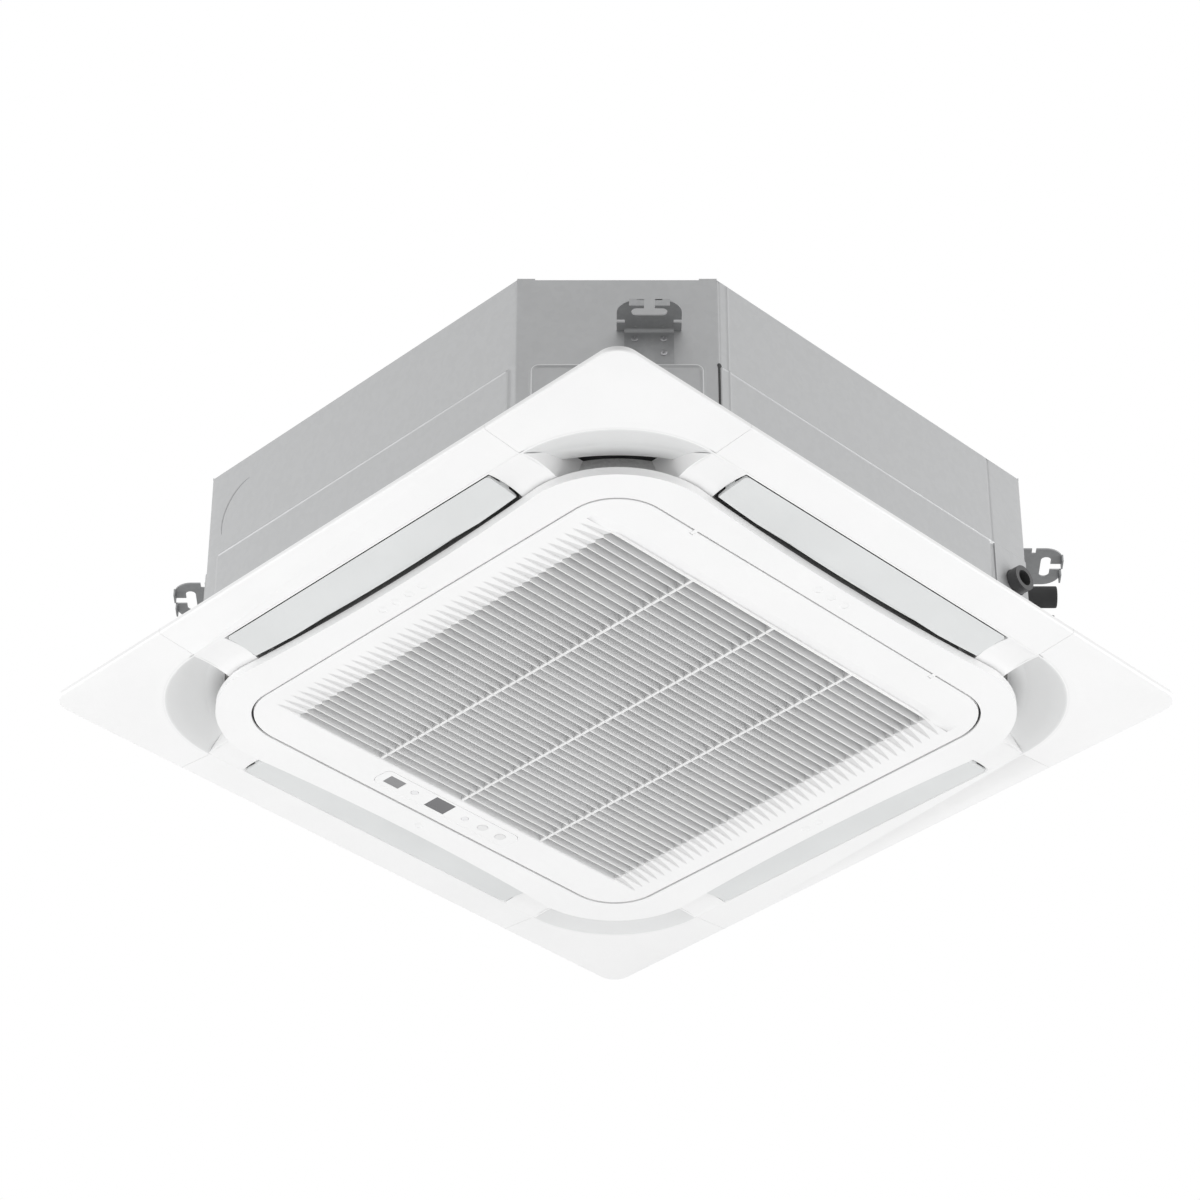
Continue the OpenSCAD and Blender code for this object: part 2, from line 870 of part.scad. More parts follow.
module bell_mouth() {
    r = mouth_d / 2;
    n = 10;
    h = mouth_top - mouth_z;
    inside = [
        for (i = [0:n]) [r + mouth_flare * (1 - sin(90 * i / n)), mouth_z + h * (1 - cos(90 * i / n))]
    ];
    outside = [for (p = inside) p + [mouth_t, mouth_t]];
    color("gainsboro") {
        translate([0, 0, mouth_z]) linear_extrude(mouth_t) difference() {
            rounded_square(mouth_flange_w, mouth_flange_r);
            circle(r = r + mouth_flare, $fn = arc_fn);
            for (a = stay_angles) rotate(a) translate([stay_u - stay_w / 2, 0]) circle(d = screw_d + 2 * gap);
            for (a = [45:90:315]) rotate(a) translate([panel_screw_u, panel_screw_v])
                circle(d = panel_screw_d + 2 * gap);
            rotate(45) translate([plug_u, 0]) circle(d = plug_d + 2 * plug_lip + 4 * gap);
        }
        rotate_extrude($fn = arc_fn) polygon(concat(inside, reversed(outside)));
    }
}

// Fan and motor

module motor_base() {
    color("lightgray") {
        difference() {
            translate([0, 0, base_z]) cylinder(h = base_t, r = base_r);
            translate([0, 0, base_z - cut]) cylinder(h = base_t + 2 * cut, d = motor_d / 3);
            for (a = [0:120:240]) rotate(a) translate([damper_r, 0, base_z - cut])
                cylinder(h = base_t + 2 * cut, d = damper_d / 2 + gap);
        }
        for (a = [45:90:315]) rotate(a) difference() {
            translate([base_r - base_t, -leg_w / 2, base_z])
                cube([leg_w / 2, leg_w, body_top - sheet - base_z]);
            translate([base_r, -leg_w / 2 - cut, base_z - cut])
                cube([leg_w, leg_w + 2 * cut, body_top - sheet - base_z + cut - base_t]);
            translate([foot_r, 0, base_z]) cylinder(h = body_h, d = screw_d);
        }
    }
}

module motor_dampers() {
    color("dimgray") for (a = [0:120:240]) rotate(a) translate([damper_r, 0, motor_z1]) {
        cylinder(h = base_z - motor_z1, d = damper_d);
        cylinder(h = base_z - motor_z1 + base_t + base_t, d = damper_d / 2);
        translate([0, 0, base_z - motor_z1 + base_t]) cylinder(h = base_t, d = damper_d);
    }
}

module fan_motor() {
    r = motor_d / 2;
    color("darkgray") difference() {
        union() {
            rotate_extrude() polygon([
                [0, motor_z0], [r - motor_round, motor_z0], [r, motor_z0 + motor_round],
                [r, motor_z1 - motor_round / 2], [r - motor_round / 2, motor_z1], [0, motor_z1]
            ]);
            for (i = [0:motor_rib_count - 1]) rotate((i + 1 / 2) * 360 / motor_rib_count)
                translate([r - motor_rib_w, -motor_rib_w / 2, motor_z0 + 3 / 2 * motor_round])
                    cube([2 * motor_rib_w, motor_rib_w, motor_z1 - motor_z0 - 5 / 2 * motor_round]);
        }
        translate([0, 0, motor_z0 - cut])
            cylinder(h = shaft_top + gap + cut - motor_z0, d = shaft_d + 2 * shaft_room);
        for (z = [motor_z0 - cut, shaft_top - bearing_h])
            translate([0, 0, z]) cylinder(h = bearing_h + cut, d = bearing_d);
    }
}

module motor_bearings() {
    color("silver") for (z = [motor_z0, shaft_top - bearing_h + gap])
        translate([0, 0, z]) difference() {
            cylinder(h = bearing_h - gap, d = bearing_d);
            translate([0, 0, -cut]) cylinder(h = bearing_h + 2 * cut, d = shaft_d + 2 * shaft_play);
        }
}

module motor_shaft() {
    color("silver") translate([0, 0, shaft_bottom]) cylinder(h = shaft_top - shaft_bottom, d = shaft_d);
}

function shroud_point(s) = [
    mouth_d / 2 + shroud_gap + (fan_d / 2 - mouth_d / 2 - shroud_gap) * (1 - cos(90 * s)),
    shroud_z + shroud_lip + (shroud_out_z - shroud_z - shroud_lip) * sin(90 * s)
];

module fan_wheel() {
    n = shroud_steps;
    curve = [for (i = [0:n]) shroud_point(i / n)];
    outside = [for (i = [0:n]) curve[i] + shroud_t * [cos(90 * i / n), -sin(90 * i / n)]];
    middle = (curve + outside) / 2;
    lip_x = mouth_d / 2 + shroud_gap;
    color("white") difference() {
        union() {
            rotate_extrude($fn = arc_fn)
                polygon(concat([[lip_x, shroud_z]], curve, reversed(outside),
                    [[lip_x + shroud_t, shroud_z]]));
            rotate_extrude($fn = arc_fn) polygon([
                [0, dome_z], [dome_in_r, dome_z], [dome_r, hub_z], [fan_d / 2, hub_z],
                [fan_d / 2, hub_z + hub_t], [dome_r - hub_t / 2, hub_z + hub_t],
                [dome_in_r - hub_t / 2, dome_z + hub_t], [0, dome_z + hub_t]
            ]);
            translate([0, 0, dome_z - boss_h / 2]) cylinder(h = boss_h / 2 + hub_t, d = boss_d);
            intersection() {
                for (i = [0:blade_count - 1]) rotate(i * 360 / blade_count)
                    translate([0, 0, shroud_z]) linear_extrude(hub_z + hub_t / 2 - shroud_z)
                        polygon(concat([for (k = [0:blade_steps]) blade_point(k / blade_steps, 1)],
                            [for (k = [blade_steps:-1:0]) blade_point(k / blade_steps, -1)]));
                rotate_extrude($fn = arc_fn) polygon(concat(
                    [[0, shroud_z + shroud_lip]], middle,
                    [[fan_d / 2, hub_z + hub_t / 2], [0, hub_z + hub_t / 2]]));
            }
        }
        translate([0, 0, shaft_bottom]) cylinder(h = hub_z, d = shaft_d);
    }
}

module fan_nut() {
    color("gray") translate([0, 0, dome_z - boss_h / 2 - nut_h]) difference() {
        cylinder(h = nut_h, d = nut_d, $fn = 6);
        translate([0, 0, -cut]) cylinder(h = nut_h + 2 * cut, d = shaft_d);
    }
}

// Pump, float and pipes

module at_pump() {
    on_chamfer(1, 1) translate([pump_u - chamfer_u, pump_v, 0]) children();
}

module pump_body() {
    color("ivory") difference() {
        union() {
            at_pump() {
                translate([0, 0, pump_z0]) cylinder(h = pump_z1 - pump_z0, d = pump_d);
                translate([0, 0, pump_z1])
                    cylinder(h = pump_cap_h, d1 = pump_d * cap_shares[0], d2 = pump_d * cap_shares[1]);
                translate([0, 0, pan_floor + gap + pump_foot])
                    cylinder(h = pump_z0 - pan_floor - gap - pump_foot, d = pump_neck_d);
            }
            at_hose() translate([hose_l - pump_d / 2 - 2 * hose_grip, 0, 0])
                rod_x(2 * hose_grip + pump_d / 4, nozzle_d);
        }
        at_pump() translate([0, 0, pan_floor])
            cylinder(h = pump_z0 - pan_floor, d = impeller_d + 4 * gap);
        at_pump() translate([0, 0, pump_z0 - cut]) cylinder(h = liner_t, d = stem_d + 2 * shaft_play);
        at_hose() translate([hose_l - pump_d / 2 - 2 * hose_grip - cut, 0, 0])
            rod_x(2 * hose_grip + cut, nozzle_d - 2 * spigot_wall);
    }
}

module pump_impeller() {
    z0 = pump_z0 - impeller_drop;
    color("white") at_pump() {
        translate([0, 0, z0 + vane_h]) cylinder(h = impeller_drop - vane_h + liner_t - 2 * cut, d = stem_d);
        translate([0, 0, z0 + vane_h - cut]) cylinder(h = impeller_hub_t, d = impeller_d);
        for (i = [0:vane_count - 1]) rotate(i * 360 / vane_count)
            translate([0, -vane_t / 2, z0]) cube([impeller_d / 2 - cut, vane_t, vane_h]);
    }
}

module pump_bracket() {
    z0 = pump_z1 + pump_cap_h + gap;
    color("lightgray") at_pump() difference() {
        union() {
            translate([0, 0, z0]) cylinder(h = pump_strap_t, d = pump_d);
            translate([-pump_d / 2, -leg_w / 2, z0]) cube([pump_strap_t, leg_w, body_top - sheet - z0]);
        }
        translate([0, 0, z0 - cut]) cylinder(h = pump_strap_t + 2 * cut, d = screw_d);
    }
}

// On the drain outlet's inner end, with x towards the pump
module at_hose() {
    translate([half - liner_in, drain_y, drain_z]) rotate(atan2(hose_way[1], hose_way[0])) children();
}

module drain_hose() {
    color("gray") at_hose() translate([hose_start, 0, 0]) difference() {
        rod_x(hose_l - pump_d / 2 - hose_grip - hose_start, hose_d);
        translate([-cut, 0, 0]) rod_x(hose_l, hose_d - 2 * hose_wall);
    }
}

module drain_outlet() {
    color("dimgray") difference() {
        union() {
            translate([half - liner_in, drain_y, drain_z]) rod_x(liner_in + cut, drain_d - 2 * drain_step);
            translate([half, drain_y, drain_z]) rod_x(drain_out, drain_d);
            at_hose() translate([-hose_grip, 0, 0]) rod_x(2 * hose_grip + hose_start, nozzle_d);
        }
        translate([half - liner_in + spigot_wall, drain_y, drain_z]) rod_x(liner_in + drain_out, drain_bore);
        at_hose() translate([-hose_grip - cut, 0, 0])
            rod_x(3 * hose_grip + hose_start, nozzle_d - 2 * spigot_wall);
    }
}

module float_stem() {
    color("ivory") translate([float_x, float_y, 0]) {
        translate([0, 0, pan_floor + gap]) cylinder(h = stem_foot_t, d = float_d);
        translate([0, 0, pan_floor + gap]) cylinder(h = stem_h, d = stem_d);
        translate([0, 0, float_z + float_h + float_travel + cut]) cylinder(h = stem_stop_t, d = float_d / 2);
    }
}

module float() {
    color("orange") translate([float_x, float_y, float_z]) difference() {
        cylinder(h = float_h, d = float_d);
        translate([0, 0, -cut]) cylinder(h = float_h + 2 * cut, d = stem_d + 2 * gap);
    }
}

// In from the chamfer, then up inside the body
module riser_path(d, v, z, top, over) {
    x0 = riser_u - chamfer_u;
    on_chamfer(1, 1) translate([0, v, 0]) {
        translate([x0 + riser_bend, 0, z]) rod_x(pipe_out - x0 - riser_bend + over, d);
        translate([x0 + riser_bend, 0, z + riser_bend]) rotate([90, 0, 0]) rotate(180)
            rotate_extrude(angle = 90) translate([riser_bend, 0]) circle(d = d);
        translate([x0, 0, z + riser_bend]) cylinder(h = top - z - riser_bend, d = d);
    }
}

module refrigerant_pipe(d, v, z, top) {
    difference() {
        riser_path(d, v, z, top, 0);
        riser_path(d - 2 * pipe_wall, v, z, top - pipe_wall, cut);
    }
}

// The gas pipe's riser is the header, with a feeder to each circuit of the coil
module gas_pipe() {
    x0 = coil_w / 2 - feeder_inset;
    x1 = (riser_u + gas_v) / sqrt(2);
    y1 = (riser_u - gas_v) / sqrt(2);
    y0 = coil_end + end_plate_t + gap;
    color("peru") {
        refrigerant_pipe(gas_d, gas_v, gas_z, header_top);
        for (k = header_rows) translate([x0, 0, coil_z0 + k * tube_pitch]) {
            translate([feeder_bend, y1, 0])
                rod_x(x1 - x0 - feeder_bend - gas_d / 2 + pipe_wall / 2, feeder_d);
            translate([feeder_bend, y1 - feeder_bend, 0]) rotate(90)
                rotate_extrude(angle = 90) translate([feeder_bend, 0]) circle(d = feeder_d, $fn = 32);
            translate([0, y1 - feeder_bend, 0]) rotate([90, 0, 0])
                cylinder(h = y1 - feeder_bend - y0, d = feeder_d);
        }
    }
}

// The liquid pipe ends in the distributor, with capillaries to the coil
module liquid_pipe() {
    x0 = coil_w / 2;
    y0 = coil_end + end_plate_t + capillary_d / 2;
    x1 = (riser_u + liquid_v) / sqrt(2);
    y1 = (riser_u - liquid_v) / sqrt(2);
    l = norm([x1 - x0, y1 - y0]);
    color("peru") {
        refrigerant_pipe(liquid_d, liquid_v, liquid_z, distributor_z + cut);
        translate([x1, y1, distributor_z]) cylinder(h = distributor_h, d = distributor_d);
        for (k = capillary_shares) translate([x0, y0, distributor_z + k * distributor_h])
            rotate(atan2(y1 - y0, x1 - x0)) rod_x(l - distributor_d / 4, capillary_d);
    }
}

module pipe_cap(d, v, z) {
    on_chamfer(1, 1) translate([field_proud + gap, v, z]) difference() {
        rod_x(pipe_out + cap_t, d);
        translate([-cut, 0, 0]) rod_x(pipe_out + cut - field_proud, d - 2 * cap_t - 2 * gap);
    }
}

module pipe_caps() {
    color("#303030") {
        pipe_cap(cap_d, gas_v, gas_z);
        pipe_cap(liquid_d + 2 * cap_t + 4 * gap, liquid_v, liquid_z);
    }
}

// Control box

module control_box() {
    roof = box_z + box_h - box_t;
    post_z = pcb_z + pcb_t + gap;
    color("silver") {
        translate([-box_w / 2, box_y, box_z]) difference() {
            cube([box_w, box_d, box_h]);
            translate([box_t, box_t, -cut])
                cube([box_w - 2 * box_t, box_d - 2 * box_t, box_h + cut - box_t]);
        }
        for (x = [pcb_edge, pcb_l - pcb_edge], y = [pcb_edge, pcb_w - pcb_edge])
            translate([pcb_x + x, pcb_y + y, post_z]) cylinder(h = roof - post_z + box_t / 2, d = box_post_d);
    }
}

module control_box_cover() {
    color("silver") difference() {
        translate([-box_w / 2, box_y, box_z - gap - box_t]) cube([box_w, box_d, box_t]);
        for (s = [-1, 1]) translate([s * (box_w / 2 - box_screw_edge), box_y + box_d / 2, box_z - 3 * box_t])
            cylinder(h = 4 * box_t, d = screw_d);
    }
}

module control_board() {
    color("darkgreen") translate([pcb_x, pcb_y, pcb_z]) {
        cube([pcb_l, pcb_w, pcb_t]);
        for (b = chip_boxes) translate([b[0], b[1], pcb_t]) cube([b[2], b[3], b[4]]);
        for (x = cap_xs) translate([x, cap_y, pcb_t]) cylinder(h = cap_h, d = cap_round_d);
    }
}

module terminal_block() {
    color("black") translate([block_x, block_y, box_z + box_h - box_t - gap - block_h]) difference() {
        cube([block_l, block_w, block_h]);
        for (i = [0:block_ways - 1]) translate([block_wall / 2 + i * block_way_pitch, 2 * block_wall, -cut])
            cube([block_way_w, block_w, block_way_depth + cut]);
    }
}

// Panel

// The flange as a solid block: the rim outside, sloping down to the throat's edge
module flange_blank(t) {
    hull() {
        translate([0, 0, t - rim_h]) linear_extrude(rim_h) rounded_square(panel_w - 2 * t, panel_r - t);
        translate([0, 0, t - flange_drop]) linear_extrude(flange_slab) rounded_square(throat_w, throat_r);
    }
}

module flange_shell() {
    difference() {
        flange_blank(0);
        flange_blank(skin);
        linear_extrude(face_drop) square(2 * panel_w, center = true);
        translate([0, 0, -face_drop]) linear_extrude(2 * face_drop) rounded_square(throat_w, throat_r);
    }
}

// The volume inside the throat between two rounded squares
module throat_volume(t) {
    hull() {
        translate([0, 0, -flange_drop - flange_slab]) linear_extrude(flange_slab)
            rounded_square(throat_w + 2 * t, throat_r + t);
        translate([0, 0, cove_top]) linear_extrude(flange_slab) rounded_square(cove_w + 2 * t, cove_r + t);
    }
    z = ledge_top + t * ledge_share;
    hull() {
        translate([0, 0, cove_top]) linear_extrude(flange_slab) rounded_square(cove_w + 2 * t, cove_r + t);
        translate([0, 0, z]) linear_extrude(flange_slab) rounded_square(ledge_w + 2 * t, ledge_r + t);
    }
    translate([0, 0, z]) linear_extrude(panel_rise - z + (t > 0 ? 0 : cut))
        rounded_square(ledge_w + 2 * t, ledge_r + t);
}

module bridge() {
    l = seam - bridge_y0;
    bite = skin * bite_share;
    y1 = seam + end_wall_lean;
    under = bow([throat_w / 2, -flange_drop], [bridge_in, bridge_z], bridge_bow, bridge_steps);
    core_x = arc_x(core_w, core_r, y1) - skin / 2;
    along_y(l, bridge_y0 + l / 2) polygon(strip(under, skin));
    difference() {
        along_y(skin, bridge_y0 + skin / 2) polygon(concat(under, [
            [bridge_in, panel_rise], [arc_x(ledge_w, ledge_r, bridge_y0) + bite, panel_rise],
            [arc_x(ledge_w, ledge_r, bridge_y0) + bite, ledge_top],
            [arc_x(cove_w, cove_r, bridge_y0) + bite, cove_top]
        ]));
        along_y(4 * skin, bridge_y0) translate([louvre_axis_x, louvre_axis_z])
            circle(d = louvre_pin_d + 2 * pin_play);
    }
    // The end wall of the corner outlet leans towards the corner as it rises
    intersection() {
        translate([core_x, 0, 0]) rotate([90, 0, 90]) linear_extrude(throat_w / 2 + bite - core_x) polygon([
            [seam - skin, bridge_z], [seam, bridge_z], [y1, panel_rise], [y1 - skin, panel_rise]
        ]);
        along_y(4 * skin + 2 * end_wall_lean, seam + end_wall_lean / 2) polygon(concat(under, [
            [core_x, bridge_z], [core_x, panel_rise],
            [arc_x(ledge_w, ledge_r, y1) + bite, panel_rise],
            [arc_x(ledge_w, ledge_r, y1) + bite, ledge_top],
            [arc_x(cove_w, cove_r, seam + end_wall_lean * lean_share) + bite, cove_top]
        ]));
    }
}

// Room for a louvre's motor behind the bridge
module motor_pocket() {
    translate([bridge_in, bridge_y0 + skin, pocket_z])
        cube([ledge_w / 2 - bridge_in, seam - bridge_y0 - 2 * skin, panel_rise - pocket_z + cut]);
}

module core() {
    translate([0, 0, core_bottom]) linear_extrude(panel_rise - core_bottom) difference() {
        rounded_square(core_w, core_r);
        rounded_square(core_w - 2 * skin, core_r - skin);
    }
    translate([0, 0, core_bottom]) linear_extrude(skin) difference() {
        rounded_square(core_w, core_r);
        rounded_square(core_w - 2 * core_flange, core_r - core_flange);
    }
    for (a = [45:90:315]) difference() {
        translate([0, 0, gusset_z]) linear_extrude(gusset_t) intersection() {
            rounded_square(core_w - skin, core_r - skin / 2);
            rotate(a) translate([gusset_u + panel_w / 2, 0]) square(panel_w, center = true);
        }
        rotate(a) translate([panel_screw_u, panel_screw_v, gusset_z - cut])
            cylinder(h = gusset_t + 2 * cut, d = panel_screw_d + 2 * gap);
    }
}

module corner_web() {
    inner = panel_w / 2 - skin - gap;
    translate([0, 0, web_z]) linear_extrude(web_t) difference() {
        translate([seam - skin, seam - skin]) square(inner - seam + skin - panel_r * 0.3);
        square(2 * seam, center = true);
    }
}

module panel_frame() {
    color("white") {
        difference() {
            union() {
                intersection() {
                    flange_shell();
                    four_sides() translate([throat_w / 2 - cut, -seam + seam_gap / 2, -face_drop])
                        cube([panel_w, 2 * seam - seam_gap, 2 * face_drop]);
                }
                throat_volume(skin);
                four_sides() corner_web();
            }
            throat_volume(0);
            four_sides() motor_pocket();
        }
        core();
        four_sides() {
            bridge();
            mirror([0, 1, 0]) bridge();
        }
    }
}

module hinge_lug() {
    difference() {
        along_y(hinge_eye_w, 0) {
            translate([hinge_x, hinge_z]) circle(d = hinge_eye_d);
            translate([hinge_x, -face_drop]) square([hinge_inset + 2 * grille_gap, hinge_eye_d]);
        }
        along_y(2 * hinge_eye_w, 0) translate([hinge_x, hinge_z]) circle(d = hinge_pin_d + 2 * pin_play);
    }
}

module catch_socket() {
    arm_x = -grille_w / 2 - grille_gap - catch_arm;
    difference() {
        union() {
            translate([catch_x, 0, catch_socket_z]) cylinder(h = catch_h, d = catch_socket_d);
            translate([arm_x, -catch_socket_d / 4, catch_socket_z + catch_h - catch_arm_t])
                cube([catch_x - arm_x, catch_socket_d / 2, catch_arm_t]);
            translate([arm_x, -catch_socket_d / 4, core_bottom])
                cube([catch_arm_t, catch_socket_d / 2, catch_socket_z + catch_h - core_bottom]);
        }
        translate([catch_x, 0, catch_socket_z - cut]) cylinder(h = catch_h + 2 * cut, d = catch_d + 2 * gap);
    }
}

module ring_dots(count) {
    for (i = [0:count - 1]) translate([dot_u, (i - (count - 1) / 2) * dot_pitch, -face_drop - cut])
        cylinder(h = dot_depth + cut, d = dot_d);
}

module panel_ring() {
    opening = grille_w + 2 * grille_gap;
    color("white") {
        difference() {
            translate([0, 0, -face_drop]) linear_extrude(ring_skirt) pinched_square(0);
            translate([0, 0, -face_drop + ring_t]) linear_extrude(ring_skirt) pinched_square(skin);
            translate([0, 0, -face_drop - cut]) linear_extrude(ring_skirt)
                rounded_square(opening, grille_r + grille_gap);
            for (i = [0:3]) rotate(i * 90) ring_dots(dot_counts[i]);
        }
        for (s = [-1, 1]) {
            translate([0, s * hinge_y, 0]) hinge_lug();
            translate([0, s * catch_y, 0]) catch_socket();
        }
    }
}

module panel_screws() {
    color("gray") for (a = [45:90:315]) rotate(a) translate([panel_screw_u, panel_screw_v, 0]) {
        translate([0, 0, gusset_z - gusset_drop]) cylinder(h = gusset_drop, d = panel_screw_d * 2);
        translate([0, 0, gusset_z - cut]) cylinder(h = mouth_z + mouth_t - gusset_z + cut, d = panel_screw_d);
    }
}

module panel_seals() {
    color("#404040") translate([0, 0, panel_rise]) linear_extrude(seal_h) {
        difference() {
            rounded_square(core_w, core_r);
            rounded_square(core_w - 2 * seal_w, core_r - seal_w);
        }
        difference() {
            rounded_square(ledge_w + 2 * skin, ledge_r + skin);
            rounded_square(ledge_w, ledge_r);
        }
    }
}

module corner_cover() {
    s = seam + seam_gap / 2;
    color("white") {
        intersection() {
            difference() {
                flange_shell();
                translate([seam, seam, -face_drop])
                    cylinder(h = 2 * face_drop, r = throat_r + skin + gap, $fn = arc_fn);
            }
            translate([s, s, -face_drop]) cube(panel_w);
        }
        for (k = cover_post_share) for (m = [0, 1]) mirror([m, -m, 0])
            translate([seam + (panel_w / 2 - seam) * k, panel_w / 2 - cover_post_edge, -rim_h])
                cylinder(h = rim_h + web_z - gap, d = cover_post_d);
    }
}

module corner_cover_1() {
    corner_cover();
}

module corner_cover_2() {
    rotate(90) corner_cover();
}

module corner_cover_3() {
    rotate(180) corner_cover();
}

module corner_cover_4() {
    rotate(270) corner_cover();
}

module louvre_motor() {
    translate([louvre_axis_x, motor_y0, louvre_axis_z]) difference() {
        union() {
            translate([-motor_can_off, 0, motor_can_off]) {
                rotate([-90, 0, 0]) cylinder(h = motor_can_h, d = motor_can_d);
                translate([-motor_ear_l / 2, 0, -motor_ear_w / 2])
                    cube([motor_ear_l, motor_ear_t, motor_ear_w]);
            }
            rotate([-90, 0, 0]) cylinder(h = motor_boss_h + motor_ear_t, d = motor_boss_d);
        }
        translate([0, -cut, 0]) rotate([-90, 0, 0])
            cylinder(h = motor_boss_h + cut, d = louvre_pin_d + 2 * gap);
    }
}

module louvre_motors() {
    color("gray") four_sides() louvre_motor();
}

// Louvre

module louvre() {
    p = [louvre_out, louvre_z_out];
    q = [ring_w / 2 - ring_pinch, louvre_z_in];
    l = louvre_l;
    under = bow(p, q, louvre_bow, bridge_steps);
    over = [for (i = [0:bridge_steps]) under[i] + [i == 0 ? -louvre_bevel : 0, louvre_t]];
    color("#dfe2e3") {
        intersection() {
            along_y(l, 0) polygon(concat(under, reversed(over)));
            translate([0, 0, -face_drop]) linear_extrude(2 * face_drop) intersection() {
                translate([louvre_out - ring_r, 0]) {
                    translate([0, -l / 2]) square([ring_r - louvre_r, l]);
                    translate([0, -l / 2 + louvre_r]) square([ring_r, l - 2 * louvre_r]);
                    for (s = [-1, 1]) translate([ring_r - louvre_r, s * (l / 2 - louvre_r)])
                        circle(r = louvre_r);
                }
                translate([pinch_x, 0]) circle(r = pinch_r - louvre_gap, $fn = arc_fn);
            }
        }
        for (s = [-1, 1]) {
            along_y(louvre_lug_t, s * (l / 2 - louvre_lug_t / 2)) {
                translate([louvre_axis_x, louvre_axis_z]) circle(d = louvre_pin_d + 2 * louvre_hub_wall);
                translate([louvre_axis_x - louvre_lug_w / 2, louvre_z_out])
                    square([louvre_lug_w, louvre_axis_z - louvre_z_out]);
            }
            pin_l = s > 0 ? louvre_drive_l : louvre_pin_l;
            along_y(pin_l + cut, s * (l / 2 + pin_l / 2 - cut / 2))
                translate([louvre_axis_x, louvre_axis_z]) circle(d = louvre_pin_d);
        }
    }
}

module louvre_1() {
    louvre();
}

module louvre_2() {
    rotate(90) louvre();
}

module louvre_3() {
    rotate(180) louvre();
}

module louvre_4() {
    rotate(270) louvre();
}

// Intake grille

module slot_grid() {
    cell = (slot_field - 3 * cross_rib) / 4;
    for (i = [0:slot_count - 1], j = [0:3])
        translate([slot_x0 + slot_pitch * (i + 0.5) - slot_w / 2, -slot_field / 2 + j * (cell + cross_rib)])
            square([slot_w, cell]);
}

// Four clips hold the filter on the slats
module filter_clips() {
    top = filter_z + filter_t + mesh_t + gap;
    for (s = [-1, 1], m = [0, 1]) mirror([0, m, 0])
        translate([s * clip_x - clip_w / 2, filter_w / 2 + gap, 0]) {
            translate([0, 0, core_bottom - gap])
                cube([clip_w, clip_t, top + clip_lip_t - core_bottom + gap]);
            translate([0, -clip_lip, top]) cube([clip_w, clip_lip + clip_t, clip_lip_t]);
        }
}

module slot_tapers() {
    for (i = [0:slot_count - 1], s = [0, 1]) mirror([0, s, 0])
        translate([slot_x0 + slot_pitch * (i + 0.5) - slot_w / 2, slot_field / 2 - cut, -face_drop])
            rotate([90, 0, 90]) linear_extrude(slot_w)
                polygon([[0, -cut], [taper_l, -cut], [taper_l, 0], [0, taper_depth]]);
}

// The notch for the ring's hinge tab and the bore for its pin
module hinge_seat() {
    translate([hinge_x - hinge_eye_d / 2 - gap, -hinge_eye_w / 2 - hinge_gap, -face_drop - cut])
        cube([2 * hinge_inset, hinge_eye_w + 2 * hinge_gap, ring_t + 2 * cut]);
    along_y(hinge_pin_l, 0) translate([hinge_x, hinge_z]) circle(d = hinge_pin_d);
}

module intake_grille() {
    w = grille_w;
    color("white") {
        difference() {
            union() {
                translate([0, 0, -face_drop]) linear_extrude(ring_t)
                    rounded_square(w - 2 * grille_bevel, grille_r - grille_bevel);
                translate([0, 0, ring_t / 2 - face_drop]) linear_extrude(ring_t / 2)
                    rounded_square(w, grille_r);
                translate([0, 0, -face_drop + ring_t]) linear_extrude(slat_h - ring_t)
                    square([slot_field, slot_field + 2 * skin], center = true);
                translate([0, 0, -face_drop + ring_t]) linear_extrude(grille_rise - ring_t) difference() {
                    rounded_square(w - skin, grille_r - skin / 2);
                    rounded_square(w - 3 * skin, grille_r - 3 / 2 * skin);
                }
            }
            translate([0, 0, -face_drop - cut]) linear_extrude(2 * face_drop) slot_grid();
            slot_tapers();
            translate([display_x, 0, -face_drop - cut]) linear_extrude(2 * face_drop)
                rounded_rect(display_w + 2 * display_gap, display_l + 2 * display_gap, display_r);
            for (s = [-1, 1]) translate([0, s * hinge_y, 0]) hinge_seat();
        }
        filter_clips();
    }
}

module grille_hinge_pins() {
    color("silver") for (s = [-1, 1])
        along_y(hinge_pin_l, s * hinge_y) translate([hinge_x, hinge_z]) circle(d = hinge_pin_d);
}

module grille_catches() {
    color("white") for (s = [-1, 1]) translate([catch_x, s * catch_y, 0]) {
        translate([0, 0, core_bottom])
            cylinder(h = catch_socket_z + catch_h - core_bottom - catch_tip, d = catch_d);
        translate([0, 0, catch_socket_z + catch_h - catch_tip])
            cylinder(h = catch_tip, d1 = catch_d, d2 = catch_d / 2);
    }
}

module filter_frame() {
    cell_x = (filter_l - filter_bar) / filter_cells;
    cell_y = (filter_w - filter_bar) / filter_cells;
    color("lightgray") translate([0, 0, filter_z]) linear_extrude(filter_t) difference() {
        square([filter_l, filter_w], center = true);
        for (i = [0:filter_cells - 1], j = [0:filter_cells - 1])
            translate([
                i * cell_x + filter_bar - filter_l / 2, j * cell_y + filter_bar - filter_w / 2
            ]) square([cell_x - filter_bar, cell_y - filter_bar]);
    }
}

module filter_mesh() {
    color("gray") translate([0, 0, filter_z + filter_t]) linear_extrude(mesh_t)
        square([filter_l - filter_bar, filter_w - filter_bar], center = true);
}

// Display

module display_openings(t) {
    for (y = button_ys) translate([0, y]) circle(d = button_d + 2 * t);
    for (y = lamp_ys) translate([0, y]) circle(d = lamp_d + 2 * t);
    translate([0, window_y]) square([window_size[0] + 2 * t, window_size[1] + 2 * t], center = true);
    translate([0, receiver_y]) square([receiver_size[0] + 2 * t, receiver_size[1] + 2 * t], center = true);
}

module display_plan(t) {
    rounded_rect(display_w + 2 * t, display_l + 2 * t, display_r + t);
}

